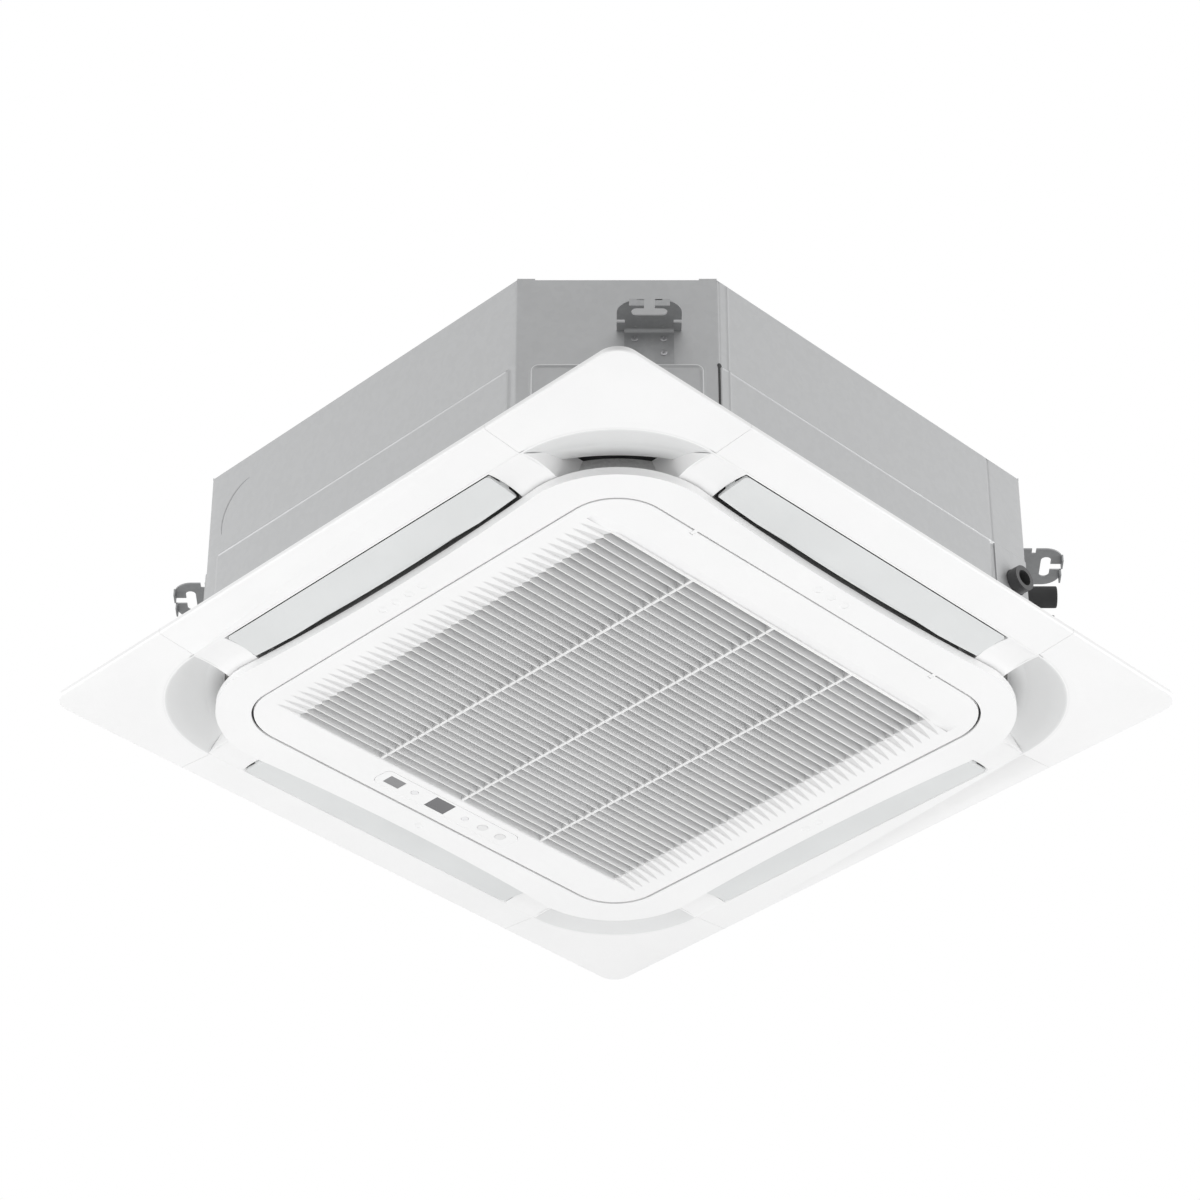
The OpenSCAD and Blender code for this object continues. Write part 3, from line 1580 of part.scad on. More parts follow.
module display_cover() {
    top = display_t - face_drop;
    color("white") translate([display_x, 0, 0]) {
        translate([0, 0, -face_drop]) linear_extrude(display_t) difference() {
            display_plan(0);
            display_openings(button_gap);
        }
        translate([0, 0, top]) linear_extrude(display_wall) difference() {
            display_plan(0);
            display_plan(-display_skin);
        }
        translate([0, 0, core_bottom + gap]) linear_extrude(display_flange_t) difference() {
            display_plan(display_flange);
            display_plan(-display_skin / 2);
        }
        for (s = [-1, 1]) translate([0, s * display_post_y, top - cut])
            cylinder(h = board_z - gap - top + cut, d = display_post_d);
    }
}

module display_windows() {
    color("#505458") translate([display_x, 0, -face_drop + gap]) linear_extrude(window_t) {
        translate([0, window_y]) square(window_size, center = true);
        translate([0, receiver_y]) square(receiver_size, center = true);
        for (y = lamp_ys) translate([0, y]) circle(d = lamp_d);
    }
}

module display_board() {
    color("darkgreen") translate([display_x, 0, board_z]) linear_extrude(board_t) {
        square([display_w - 2 * display_skin - 2 * gap, display_l - 2 * display_r], center = true);
        square([board_neck_w, display_l - 2 * display_skin - 2 * gap], center = true);
    }
}

module button(y) {
    flange_z = display_t - face_drop + gap;
    color("#e8e8e8") translate([display_x, y, 0]) {
        translate([0, 0, -face_drop - button_proud]) cylinder(h = button_t, d = button_d);
        translate([0, 0, flange_z]) cylinder(h = button_flange_t, d = button_d + 2 * button_flange);
        translate([0, 0, flange_z]) cylinder(h = board_z - button_travel - gap - flange_z, d = button_stem_d);
    }
}

module button_1() {
    button(button_ys[0]);
}

module button_2() {
    button(button_ys[1]);
}

casing_shell();
top_plate();
hanger_brackets();
body_screws();
pipe_cover();
foam_liner();
coil_fins();
coil_tubes();
coil_end_plates();
coil_stays();
coil_partition();
drain_pan();
drain_plug();
pan_screws();
bell_mouth();
motor_base();
motor_dampers();
fan_motor();
motor_bearings();
pump_body();
pump_bracket();
drain_hose();
drain_outlet();
float_stem();
gas_pipe();
liquid_pipe();
pipe_caps();
control_box();
control_box_cover();
control_board();
terminal_block();
panel_frame();
panel_ring();
panel_screws();
panel_seals();
corner_cover_1();
corner_cover_2();
corner_cover_3();
corner_cover_4();
louvre_motors();
louvre_1();
louvre_2();
louvre_3();
louvre_4();
fan_wheel();
fan_nut();
motor_shaft();
pump_impeller();
float();
intake_grille();
grille_hinge_pins();
grille_catches();
filter_frame();
filter_mesh();
display_cover();
display_windows();
display_board();
button_1();
button_2();
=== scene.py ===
"""Looks of the ceiling cassette air conditioner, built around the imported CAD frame. Metres, +Z up."""
import json
import math

import bmesh
import bpy
from mathutils import Matrix, Vector

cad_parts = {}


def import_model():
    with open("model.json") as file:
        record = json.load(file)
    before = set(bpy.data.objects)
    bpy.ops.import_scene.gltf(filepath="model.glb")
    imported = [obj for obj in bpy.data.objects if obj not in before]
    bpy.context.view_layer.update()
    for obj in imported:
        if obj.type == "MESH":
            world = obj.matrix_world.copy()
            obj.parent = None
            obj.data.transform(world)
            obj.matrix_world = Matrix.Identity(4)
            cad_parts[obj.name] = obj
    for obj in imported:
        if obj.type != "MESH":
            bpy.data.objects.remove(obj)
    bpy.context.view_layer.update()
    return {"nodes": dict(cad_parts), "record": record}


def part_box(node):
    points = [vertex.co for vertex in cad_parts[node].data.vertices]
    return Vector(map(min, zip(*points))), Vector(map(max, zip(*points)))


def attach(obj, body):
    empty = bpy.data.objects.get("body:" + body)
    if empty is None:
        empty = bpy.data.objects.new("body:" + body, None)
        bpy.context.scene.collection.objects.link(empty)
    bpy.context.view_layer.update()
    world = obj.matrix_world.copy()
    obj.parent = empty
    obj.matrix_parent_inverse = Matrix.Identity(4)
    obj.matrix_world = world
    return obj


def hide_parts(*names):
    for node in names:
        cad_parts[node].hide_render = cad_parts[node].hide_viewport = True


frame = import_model()

MM = 0.001
# How far a cut reaches past what it cuts
CUT_OVER = 2.0
ALONG_X = Matrix.Rotation(math.radians(90), 4, "Y")
# Share of a face's size in the smoothed shading
SHADING_WEIGHT = 80


def corners(node):
    """A CAD node's lowest and highest corners in millimetres."""
    return [[round(v / MM, 1) for v in corner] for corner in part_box(node)]


def middle(node, axis):
    """The middle of a CAD node's box along an axis, in millimetres."""
    low, high = corners(node)
    return (low[axis] + high[axis]) / 2


# Camera, from the fit to the photograph
CAMERA_AT = (2.6941, -2.7210, -2.5687)
CAMERA_PITCH = math.radians(35.30)
CAMERA_LENS = 116.61
CAMERA_SENSOR = 36.0
CAMERA_REACH = 200.0

# Room
FLOOR_Z = -3.2
FLOOR_SIZE = 60.0
AMBIENT = 0.55
SIDE_LAMP_POWER = 74.0
SIDE_LAMP_SIZE = 3.2
SIDE_LAMP_AWAY = 3.6
SIDE_LAMP_Z = -0.6
SIDE_LAMP_AIM = (0, 0, 0.1)
UNDER_LAMP_POWER = 35.0
UNDER_LAMP_SIZE = 3.0
UNDER_LAMP_AT = (0.3, -0.3, -3.0)

# Body, in millimetres as all sizes below: half width, chamfers and sheet
HALF = corners("top_plate")[1][0]
SHELL_Z0, SHELL_Z1 = (corner[2] for corner in corners("casing_shell"))
CHAMFER = 158.0
SIDE_HALF = HALF - CHAMFER
CHAMFER_U = (2 * HALF - CHAMFER) / math.sqrt(2)
CHAMFER_HALF = CHAMFER / math.sqrt(2)
SHEET = 1.0
LIP = 15.3

# Embossed fields: span along each side by quarter turns from +X, height and the bead around them
FIELD_SPANS = [(-259.5, 203.8), (-242.0, 242.0), (-242.0, 242.0), (-242.0, 250.0)]
FIELD_TOP = 117.0
FIELD_PROUD = 1.5
FIELD_OVER = 0.2
FIELD_TOP_RISE = (-1.6, 1.2)
RISE, SHARP_RISE, SLOW_RISE = 2.4, 0.4, 9.0
BEAD, BEAD_W, BEAD_RISE = 1.3, 1.4, 3.0
FADE_IN = 2.0

# The stamped outline on a chamfer
CORNER_HALF, CORNER_R = 95.0, 9.0
CORNER_BEAD, CORNER_BEAD_W = 2.6, 2.1
CORNER_RISE = 2.4
# The strip of painted highlight on the outline's crest: inset, foot and section
CREST_IN = 0.6
CREST_FOOT = 3.0
CREST_SECTION = [(-0.75, -0.5), (0.75, -0.5), (0.4, 0.12), (-0.4, 0.12)]

# Seams of the sheet: place along the side, depth and width
RIDGE = (-246.0, 1.1, 1.6)
COVER_SEAM = (204.0, -1.1, 1.6)
FIELD_SEAM = (200.0, -1.4, 3.0)
FIELD_SEAM_DROP = 1.0
EDGE_SEAM = (-259.0, -0.7, 1.2)
LAST_SEAM = (FIELD_SPANS[3][1] + 4.6, -1.0, 1.3)

# The black strip in the groove near the end of the +X side, a painted shade of the gap there
STRIP_Y = (-262.0, -259.9)
STRIP_DEEP, STRIP_PROUD = 0.6, 0.5
STRIP_HEAD_Y, STRIP_HEAD_UP = -260.6, 1.0
STRIP_HEAD = [(0, -0.6), (3.0, -0.6), (3.0, 0.6), (2.2, 1.0), (0, 1.1)]
GROOVE_Y = (-262.4, -259.7)
GROOVE_DEEP, GROOVE_OUT, GROOVE_UP = 0.7, 4.0, 1.5

# The dark arc at the fresh air knock-out, on the -Y side: painted shade on part of its ring
KNOCKOUT_X, KNOCKOUT_Z, KNOCKOUT_R = -190.0, 157.0, 50.0
KNOCKOUT_FROM, KNOCKOUT_TURN, KNOCKOUT_STEPS = 94, 98, 32
KNOCKOUT_LINE, KNOCKOUT_SWELL, KNOCKOUT_POWER = 0.1, 1.0, 0.7
KNOCKOUT_OUT, KNOCKOUT_IN = 0.2, 0.22

# Holes for the drain outlet and, as (along the chamfer, height, diameter), for the two pipes
DRAIN_Y, DRAIN_Z = middle("drain_outlet", 1), middle("drain_outlet", 2)
DRAIN_D = 32.0
PIPES = [(84.0, 87.0, 15.88), (50.0, 76.0, 9.52)]
HOLE_GAP = 0.6
HOLE_REACH = (-20.0, 6.0)

# Grid of the sheet skin: spacing, fine spacing and the steps beside a bend
GRID, LEVEL_GRID, FINE_LEVEL, FINE_CORNER = 24.0, 20.0, 1.25, 1.0
EDGE_BEND = 1.2
BEND_STEPS = (0, 0.6, 1.2, 1.8, 2.6, 4.0)
SLOW_AT, SLOW_STEPS = 195.0, (0, 1.5, 3)
SEAM_AT, SEAM_STEPS = 204.4, (0, 0.4, 0.8, 1.4)

# Panel: face and rim of the flange, the grey sheets on the core wall that paint the shade in the outlets,
# and the ring's index dimples
FACE_Z = corners("intake_grille")[0][2]
RIM_Z, RIM_FROM, RIM_R, RIM_OFF = -6.0, 466.0, 2.4, 0.4
# Angles in degrees from which an edge is rounded, and up to which faces count as one
RIM_ANGLE, EDGE_ANGLE, FLAT_ANGLE = 30, 38, 0.4
SAME_PLACE = 0.01
EDGE_R, RING_EDGE_R, LOUVRE_EDGE_R, CAP_EDGE_R, OUTLET_EDGE_R = 0.4, 0.5, 0.6, 2.5, 0.6
CHANNEL_SHADE_Z = (-22.5, 17.6)
CHANNEL_SHADE_W, CHANNEL_SHADE_R, CHANNEL_SHADE_T, CHANNEL_SHADE_EDGE = 715.2, 147.6, 0.7, 0.05
# Dark strips behind the louvres: painted shade of the gaps
GAP_SHADE_Z = (-22.4, 17.5)
GAP_SHADE_OUT = (357.5, 358.0)
GAP_SHADE_HALF = 205.0
DIMPLE_OUT, DIMPLE_STEP = 343.0, 22.0
DIMPLE_COUNTS = (3, 2, 1, 4)
DIMPLE = [(0, -1), (6.2, -1), (6.2, 0), (5.6, 0.5), (4.4, 0.95), (2.4, 1.25), (0, 1.35)]

# A corner guide's rings from the panel's face to the ledge at the lip: place of the arc's centre on
# both axes, radius and height
GUIDE_FACE = (450.0, 25.0, -6.0)
GUIDE_SHOULDER = (272.0, 148.0, -11.0)
GUIDE_LIP = (196.0, 210.0, 4.0)
GUIDE_LEDGE = (150.0, 252.0, 6.8)
# Radii over which the guides' painted shade fades out into the white
GUIDE_FADE = (145.5, 154.0)
GUIDE_STEPS = 40
GUIDE_BACK_SHARE = 0.2
# Its profile as (t, lift): t is -1 on the face, 0 at the shoulder, 1 at the lip and 2 at the ledge's
# end, and lift is how far the skin stands below that surface
GUIDE_PROFILE = [(-0.1, 0.02), (-0.07, 0.05), (-0.045, 0.09), (-0.02, 0.16), (-0.006, 0.28), (0.02, 0.5),
                 (0.08, 0.55), (0.2, 0.55), (0.4, 0.5), (0.6, 0.45), (0.8, 0.4), (0.97, 0.35), (1.03, 0.35),
                 (1.3, 0.3), (1.6, 0.3), (1.9, 0.3)]

# Louvres: what their ends and long edges keep clear
LOUVRE_END, LOUVRE_TIP = 1.9, 0.7
LOUVRE_END_FROM, LOUVRE_END_Z, LOUVRE_TIP_Z = 190.0, -7.5, -12.0
LOUVRE_EDGE, LOUVRE_IN, LOUVRE_OUT = 3.0, 2.6, 0.8

# The intake grille's slots, blades and tapers
SLOT_X0, SLOT_PITCH, SLOT_W, SLOT_COUNT, SLOT_FIELD = -263.0, 13.0, 6.8, 40, 528.0
SLAT_H = 12.0
BLADE_EDGE, BLADE_TOP, BLADE_ROUND = 1.7, 2.9, 0.4
TAPER, TAPER_DEEP, TAPER_STEPS = 38.0, 3.4, 12
TAPER_DEEP_POWER, TAPER_WIDE_POWER = 0.8, 0.7
TAPER_GAP, TAPER_LEAN = 0.1, 0.05
# The painted-shade skin on a taper: how far it is let in and stands out at its deep and its shallow edge
SKIN_NEAR, SKIN_FAR, SKIN_SINK = 0.03, 0.02, 0.12
SKIN_LOW, SKIN_RISE, SKIN_UP = 0.01, 0.05, 0.1
RAMP, RAMP_RISE, RAMP_BEND, RAMP_BEND_SHARE = 17.0, 5.0, 6.0, 0.42
RAMP_OUT, RAMP_IN, RAMP_LEFT, RAMP_ROUND = 8.0, 16.0, 0.02, 0.3
CROSS_RIB = 5.5
RIB_SECTION = [(1.9, 1.2), (1.4, 0.8)]
RIB_TOP_GAP, RIB_END = 2.0, 1.0

# Its border, rear wall, hinge notches and filter clips
GRILLE_T = 3.0
BORDER_IN, BORDER_R, BORDER_EDGE = 2.6, 62.8, 1.0
WALL_W, WALL_R, WALL_T, WALL_TOP, WALL_EDGE = 643.0, 63.0, 2.5, -10.0, 0.3
SINK = 0.5
NOTCH_X, NOTCH_Y, NOTCH_HALF = (314.7, 325.0), 200.0, 2.8
CLIP_X, CLIP_HALF, CLIP_Y, CLIP_LIP = 150.0, 6.0, (280.3, 283.3), 4.0
CLIP_TOP = corners("intake_grille")[1][2]
CLIP_LIP_T = 2.0

# Display
DISPLAY_X = middle("display_cover", 0)
DISPLAY_W, DISPLAY_L, DISPLAY_R, DISPLAY_GAP = 31.0, 221.0, 9.0, 0.5
WINDOW_HALF, WINDOW_Y = 12.0, (-27.5, 3.5)
RECEIVER_HALF, RECEIVER_Y = 8.0, (-99.0, -75.0)
WINDOW_Z = (FACE_Z + 0.3, FACE_Z + 2.1)
LAMP_Y = (30.0, -54.0)
LAMP = [(0, 0.1), (3.4, 0.1), (3.7, 0.3), (4.2, 0.3), (4.45, 0.1), (4.5, 0.35), (4.5, 1.9), (0, 1.9)]

# Hanger bracket: u runs out from the chamfer and v along it
BRACKET_V, BRACKET_Z, BRACKET_T = 35.36, 166.0, 2.0
FLANGE_IN, FLANGE_OUT, FLANGE_HALF, FLANGE_R, FLANGE_EDGE = 0.6, 53.95, 36.0, 22.0, 0.25
ROD_SLOT_U, ROD_SLOT_R, ROD_SLOT_HALF = 33.95, 6.0, 14.0
RELIEF_U, RELIEF_HALF, RELIEF_DEEP = 17.95, 2.5, 9.0
LEG_HALF, LEG_LOW, LEG_BEND = 27.5, 118.0, 4.5
# Where the flat faces of the leg end, below the bend's centre
LEG_TOP_IN, LEG_TOP_OUT = 1.5, 1.0
TAB_END, TAB_LOW = 22.5, 158.5
RIVET_U, RIVET_V = 8.2, 15.0
RIVET = [(0, -0.3), (1.6, -0.3), (1.6, 0.25), (1.0, 0.55), (0, 0.65)]

# Screws as head diameter and height, shank diameter and length, and their places
BRACKET_SCREW = (8.0, 1.2, 4.7, 3.0)
BRACKET_SCREW_V, BRACKET_SCREW_DROPS = 16.0, (12.0, 32.0)
MOTOR_SCREW = (11.0, 3.0, 4.4, 3.0)
MOTOR_SCREW_R, MOTOR_SCREW_Z = 112.5, 240.0
HEAD_RIM, HEAD_ROUND, SHANK_POINT, POINT_IN = 0.7, 0.3, 0.6, 0.4
CROSS_REACH_SHARE, CROSS_W_SHARE = 0.52, 0.13
CROSS_FOOT_SHARE, CROSS_DEPTH_SHARE = 0.6, 0.35


class Graph:
    """A material's node tree around one Principled shader."""

    def __init__(self, name, color, roughness, metallic=0.0, specular=0.5):
        self.material = bpy.data.materials.new(name)
        self.material.use_nodes = True
        self.tree = self.material.node_tree
        self.shader = self.tree.nodes["Principled BSDF"]
        self.shader.inputs["Base Color"].default_value = (*color, 1)
        self.shader.inputs["Roughness"].default_value = roughness
        self.shader.inputs["Metallic"].default_value = metallic
        self.shader.inputs["Specular IOR Level"].default_value = specular
        self.color = color
        self.roughness = roughness
        self.place = self.add("ShaderNodeTexCoord").outputs["Object"]

    def add(self, kind, **values):
        node = self.tree.nodes.new(kind)
        for key, value in values.items():
            setattr(node, key, value)
        return node

    def link(self, source, target):
        self.tree.links.new(source, target)

    def noise(self, scale, detail=3.0, stretch=(1, 1, 1)):
        mapping = self.add("ShaderNodeMapping")
        mapping.inputs["Scale"].default_value = stretch
        self.link(self.place, mapping.inputs["Vector"])
        node = self.add("ShaderNodeTexNoise")
        node.inputs["Scale"].default_value = scale
        node.inputs["Detail"].default_value = detail
        self.link(mapping.outputs["Vector"], node.inputs["Vector"])
        return node.outputs["Fac"]

    def cells(self, scale):
        node = self.add("ShaderNodeTexVoronoi")
        node.inputs["Scale"].default_value = scale
        self.link(self.place, node.inputs["Vector"])
        gray = self.add("ShaderNodeRGBToBW")
        self.link(node.outputs["Color"], gray.inputs["Color"])
        return gray.outputs["Val"]

    def ranged(self, value, low, high):
        """Spreads the middle part of a noise over the range from low to high."""
        node = self.add("ShaderNodeMapRange")
        node.inputs["From Min"].default_value = 0.3
        node.inputs["From Max"].default_value = 0.7
        node.inputs["To Min"].default_value = low
        node.inputs["To Max"].default_value = high
        self.link(value, node.inputs["Value"])
        return node.outputs["Result"]

    def mixed(self, value, first, second):
        """Sets the base colour to a mix of two colours."""
        mix = self.add("ShaderNodeMix", data_type="RGBA")
        mix.inputs["A"].default_value = (*first, 1)
        mix.inputs["B"].default_value = (*second, 1)
        self.link(value, mix.inputs["Factor"])
        self.link(mix.outputs["Result"], self.shader.inputs["Base Color"])
        return self

    def tint(self, value, spread):
        """Varies the base colour's brightness by spread up and down."""
        dark = [c * (1 - spread) for c in self.color]
        light = [min(1, c * (1 + spread)) for c in self.color]
        return self.mixed(self.ranged(value, 0, 1), dark, light)

    def polish(self, value, spread):
        """Varies the roughness by spread up and down."""
        low, high = max(0.02, self.roughness - spread), min(1, self.roughness + spread)
        self.link(self.ranged(value, low, high), self.shader.inputs["Roughness"])
        return self

    def bump(self, value, height):
        node = self.add("ShaderNodeBump")
        node.inputs["Distance"].default_value = height
        node.inputs["Strength"].default_value = 1.0
        self.link(value, node.inputs["Height"])
        self.link(node.outputs["Normal"], self.shader.inputs["Normal"])
        return self


def moulded(name, color, roughness, grain=1400.0, depth=0.00002, spread=0.012):
    """Injection moulded plastic with a fine spark-eroded grain."""
    g = Graph(name, color, roughness)
    g.tint(g.noise(scale=9.0, detail=2.0), spread).polish(g.noise(scale=60.0), spread=0.05)
    return g.bump(g.noise(grain, detail=4.0), depth).material


def guide_painted_shade(color, outer):
    """A grey that paints the shade of the corner outlets' concave guides, fading out into the panel's white
    at the shoulder.
    """
    g = Graph("guide_painted_shade", color, roughness=0.5)
    place = g.add("ShaderNodeSeparateXYZ")
    g.link(g.place, place.inputs["Vector"])
    flat = g.add("ShaderNodeCombineXYZ")
    for axis in "XY":
        away = g.add("ShaderNodeMath", operation="ABSOLUTE")
        g.link(place.outputs[axis], away.inputs[0])
        from_axis = g.add("ShaderNodeMath", operation="SUBTRACT")
        from_axis.inputs[1].default_value = GUIDE_SHOULDER[0] * MM
        g.link(away.outputs[0], from_axis.inputs[0])
        g.link(from_axis.outputs[0], flat.inputs[axis])
    radius = g.add("ShaderNodeVectorMath", operation="LENGTH")
    g.link(flat.outputs["Vector"], radius.inputs[0])
    fade = g.add("ShaderNodeMapRange", interpolation_type="SMOOTHSTEP")
    fade.inputs["From Min"].default_value = GUIDE_FADE[0] * MM
    fade.inputs["From Max"].default_value = GUIDE_FADE[1] * MM
    g.link(radius.outputs["Value"], fade.inputs["Value"])
    g.mixed(fade.outputs["Result"], color, outer)
    return g.polish(g.noise(scale=60.0), spread=0.05).bump(g.noise(900.0, detail=4.0), 0.00004).material


def zinc(name, color, roughness, spangle=150.0, spread=0.012, metallic=0.5):
    """Galvanized sheet with faint spangle and rolling marks."""
    g = Graph(name, color, roughness, metallic)
    g.tint(g.cells(spangle), spread).polish(g.noise(scale=45.0, detail=4.0), spread=0.04)
    return g.bump(g.noise(scale=260.0, stretch=(1, 1, 0.12)), height=0.00001).material


def turned(name, color, roughness, metallic=1.0):
    """Machined or drawn metal."""
    g = Graph(name, color, roughness, metallic)
    g.tint(g.noise(scale=120.0, detail=2.0), spread=0.06)
    g.polish(g.noise(scale=500.0, detail=2.0, stretch=(1, 1, 8)), spread=0.08)
    return g.bump(g.noise(scale=900.0, detail=2.0, stretch=(1, 1, 10)), height=0.00001).material


def beads(name, color):
    """Expanded foam with visible beads."""
    g = Graph(name, color, roughness=0.8, specular=0.3)
    g.tint(g.cells(scale=260.0), spread=0.05)
    return g.bump(g.cells(scale=260.0), height=0.0003).material


def rubbery(name, color):
    """Dull rubber with a slight bloom."""
    g = Graph(name, color, roughness=0.7, specular=0.35)
    g.tint(g.noise(scale=30.0), spread=0.2).polish(g.noise(scale=120.0), spread=0.08)
    return g.bump(g.noise(scale=1800.0), height=0.00003).material


WHITE = (0.88, 0.88, 0.88)
FINISHES = {
    "galvanized": zinc("galvanized", (0.50, 0.505, 0.51), 0.5),
    "bracket_steel": zinc("bracket_steel", (0.375, 0.38, 0.385), 0.42, 220.0, 0.03, 0.7),
    # Bright strip on the chamfers' crests: a painted highlight
    "crest_painted_highlight": zinc("crest_painted_highlight", (0.78, 0.785, 0.79), 0.45),
    "screw_steel": turned("screw_steel", (0.42, 0.42, 0.43), 0.35),
    "foam": beads("foam", (0.80, 0.80, 0.78)),
    "fin_aluminium": turned("fin_aluminium", (0.70, 0.74, 0.78), 0.35, 0.9),
    "copper": turned("copper", (0.72, 0.38, 0.24), 0.3),
    "white_plastic": moulded("white_plastic", WHITE, 0.42),
    # Blades a little darker than the white plastic: painted shade of the deep slots
    "blade_painted_shade": moulded("blade_painted_shade", (0.81, 0.81, 0.81), 0.45),
    # Grey of the taper skins: painted shade of the slots' ends
    "taper_painted_shade": moulded("taper_painted_shade", (0.72, 0.72, 0.72), 0.5),
    "louvre_plastic": moulded("louvre_plastic", (0.70, 0.712, 0.712), 0.5, 900.0, 0.00006, 0.03),
    # Grey of the outlets' guides: painted shade
    "guide_painted_shade": guide_painted_shade((0.72, 0.725, 0.725), WHITE),
    # Grey of the sheet on the core wall: painted shade in the outlets
    "channel_painted_shade": beads("channel_painted_shade", (0.70, 0.70, 0.70)),
    # Darker grey of the strips behind the louvres: painted shade of the gaps
    "louvre_gap_painted_shade": beads("louvre_gap_painted_shade", (0.24, 0.24, 0.24)),
    "fan_plastic": moulded("fan_plastic", (0.74, 0.74, 0.72), 0.5),
    "black_rubber": rubbery("black_rubber", (0.055, 0.055, 0.056)),
    "dark_plastic": moulded("dark_plastic", (0.075, 0.075, 0.077), 0.4, spread=0.1),
    "motor_paint": moulded("motor_paint", (0.26, 0.27, 0.28), 0.4, 700.0, 0.00004, 0.05),
    "board": moulded("board", (0.03, 0.18, 0.07), 0.35, 500.0, 0.00005, 0.15),
    "filter_plastic": moulded("filter_plastic", (0.36, 0.37, 0.38), 0.5),
    "filter_net": moulded("filter_net", (0.20, 0.21, 0.22), 0.8, 700.0, 0.0002, 0.2),
    "window_plastic": moulded("window_plastic", (0.165, 0.165, 0.17), 0.25, spread=0.1),
    "receiver_plastic": moulded("receiver_plastic", (0.27, 0.27, 0.275), 0.3, spread=0.08),
    "lamp_plastic": moulded("lamp_plastic", (0.80, 0.80, 0.81), 0.35),
    "orange_plastic": moulded("orange_plastic", (0.80, 0.30, 0.05), 0.45),
    "button_plastic": moulded("button_plastic", (0.78, 0.78, 0.78), 0.4),
}


def finish_nodes():
    """Gives each CAD node the finish of its slot in the record."""
    for part in frame["record"]["subparts"]:
        node = frame["nodes"][part["node"]]
        node.data.materials.clear()
        node.data.materials.append(FINISHES[part["material_slot"]])


def placed(name, data):
    """A new object in the scene."""
    thing = bpy.data.objects.new(name, data)
    bpy.context.scene.collection.objects.link(thing)
    return thing


def aimed(thing, direction):
    thing.rotation_euler = Vector(direction).to_track_quat("-Z", "Y").to_euler()


def lamp(name, at, target, size, power):
    data = bpy.data.lights.new(name, "AREA")
    data.shape = "DISK"
    data.size = size
    data.energy = power
    light = placed(name, data)
    light.location = at
    aimed(light, Vector(target) - Vector(at))


def lamps():
    """A large soft lamp on either side and one below."""
    side = SIDE_LAMP_AWAY / math.sqrt(2)
    for name, s in (("lamp_left", -1), ("lamp_right", 1)):
        lamp(name, (s * side, s * side, SIDE_LAMP_Z), SIDE_LAMP_AIM, SIDE_LAMP_SIZE, SIDE_LAMP_POWER)
    lamp("lamp_under", UNDER_LAMP_AT, (0, 0, 0), UNDER_LAMP_SIZE, UNDER_LAMP_POWER)


def world():
    """White towards the camera and in reflections, even grey as light."""
    w = bpy.data.worlds.new("studio")
    bpy.context.scene.world = w
    w.use_nodes = True
    tree = w.node_tree
    path = tree.nodes.new("ShaderNodeLightPath")

    def either(first, second):
        node = tree.nodes.new("ShaderNodeMath")
        node.operation = "MAXIMUM"
        tree.links.new(first, node.inputs[0])
        tree.links.new(second, node.inputs[1])
        return node.outputs[0]

    mirrored = either(path.outputs["Is Glossy Ray"], path.outputs["Is Transmission Ray"])
    strength = tree.nodes.new("ShaderNodeMapRange")
    strength.inputs["To Min"].default_value = AMBIENT
    strength.inputs["To Max"].default_value = 1.0
    tree.links.new(either(path.outputs["Is Camera Ray"], mirrored), strength.inputs["Value"])
    background = tree.nodes["Background"]
    tree.links.new(strength.outputs["Result"], background.inputs["Strength"])
    background.inputs["Color"].default_value = (1, 1, 1, 1)


def floor():
    mesh = bpy.data.meshes.new("floor")
    half = FLOOR_SIZE / 2
    outline = [(-half, -half), (half, -half), (half, half), (-half, half)]
    mesh.from_pydata([(x, y, FLOOR_Z) for x, y in outline], [], [(0, 1, 2, 3)])
    plane = placed("floor", mesh)
    g = Graph("floor", (0.85, 0.85, 0.85), roughness=0.8, specular=0.2)
    mesh.materials.append(g.tint(g.noise(scale=0.4), spread=0.01).material)


def camera():
    data = bpy.data.cameras.new("camera")
    data.lens = CAMERA_LENS
    data.sensor_width = CAMERA_SENSOR
    data.clip_end = CAMERA_REACH
    cam = placed("camera", data)
    cam.location = CAMERA_AT
    flat = math.cos(CAMERA_PITCH) / math.sqrt(2)
    aimed(cam, (-flat, flat, math.sin(CAMERA_PITCH)))
    bpy.context.scene.camera = cam


def smooth(a, b, x):
    """Rises smoothly from 0 at a to 1 at b."""
    t = min(1.0, max(0.0, (x - a) / (b - a)))
    return t * t * (3 - 2 * t)


def bell(x, width):
    return math.exp(-(x / width) ** 2)


def turned_by(degrees):
    """Cosine and sine of an angle in degrees."""
    return math.cos(math.radians(degrees)), math.sin(math.radians(degrees))


def arc(x, y, r, angles):
    """Points of an arc about (x, y) at these angles in degrees."""
    return [(x + r * c, y + r * s) for c, s in map(turned_by, angles)]


def about_z(degrees):
    return Matrix.Rotation(math.radians(degrees), 4, "Z")


def facing(x, y, z):
    """A turn that takes local Z to this direction."""
    return Vector((x, y, z)).to_track_quat("Z", "Y").to_matrix().to_4x4()


def at_chamfer(sx, sy, u, v):
    """A point on a chamfer: u out of the centre, v along it towards the X side."""
    return sx * (u + v) / math.sqrt(2), sy * (u - v) / math.sqrt(2)


def as_mesh(name, bm):
    """A mesh from a bmesh whose normals are set, and which is used up."""
    bmesh.ops.recalc_face_normals(bm, faces=bm.faces)
    mesh = bpy.data.meshes.new(name)
    bm.to_mesh(mesh)
    bm.free()
    return mesh


def in_metres(bm):
    bmesh.ops.scale(bm, vec=(MM, MM, MM), verts=bm.verts)
    return bm


def applied(piece):
    """Turns a piece's modifiers into its mesh."""
    graph = bpy.context.evaluated_depsgraph_get()
    mesh = bpy.data.meshes.new_from_object(piece.evaluated_get(graph))
    piece.modifiers.clear()
    piece.data = mesh


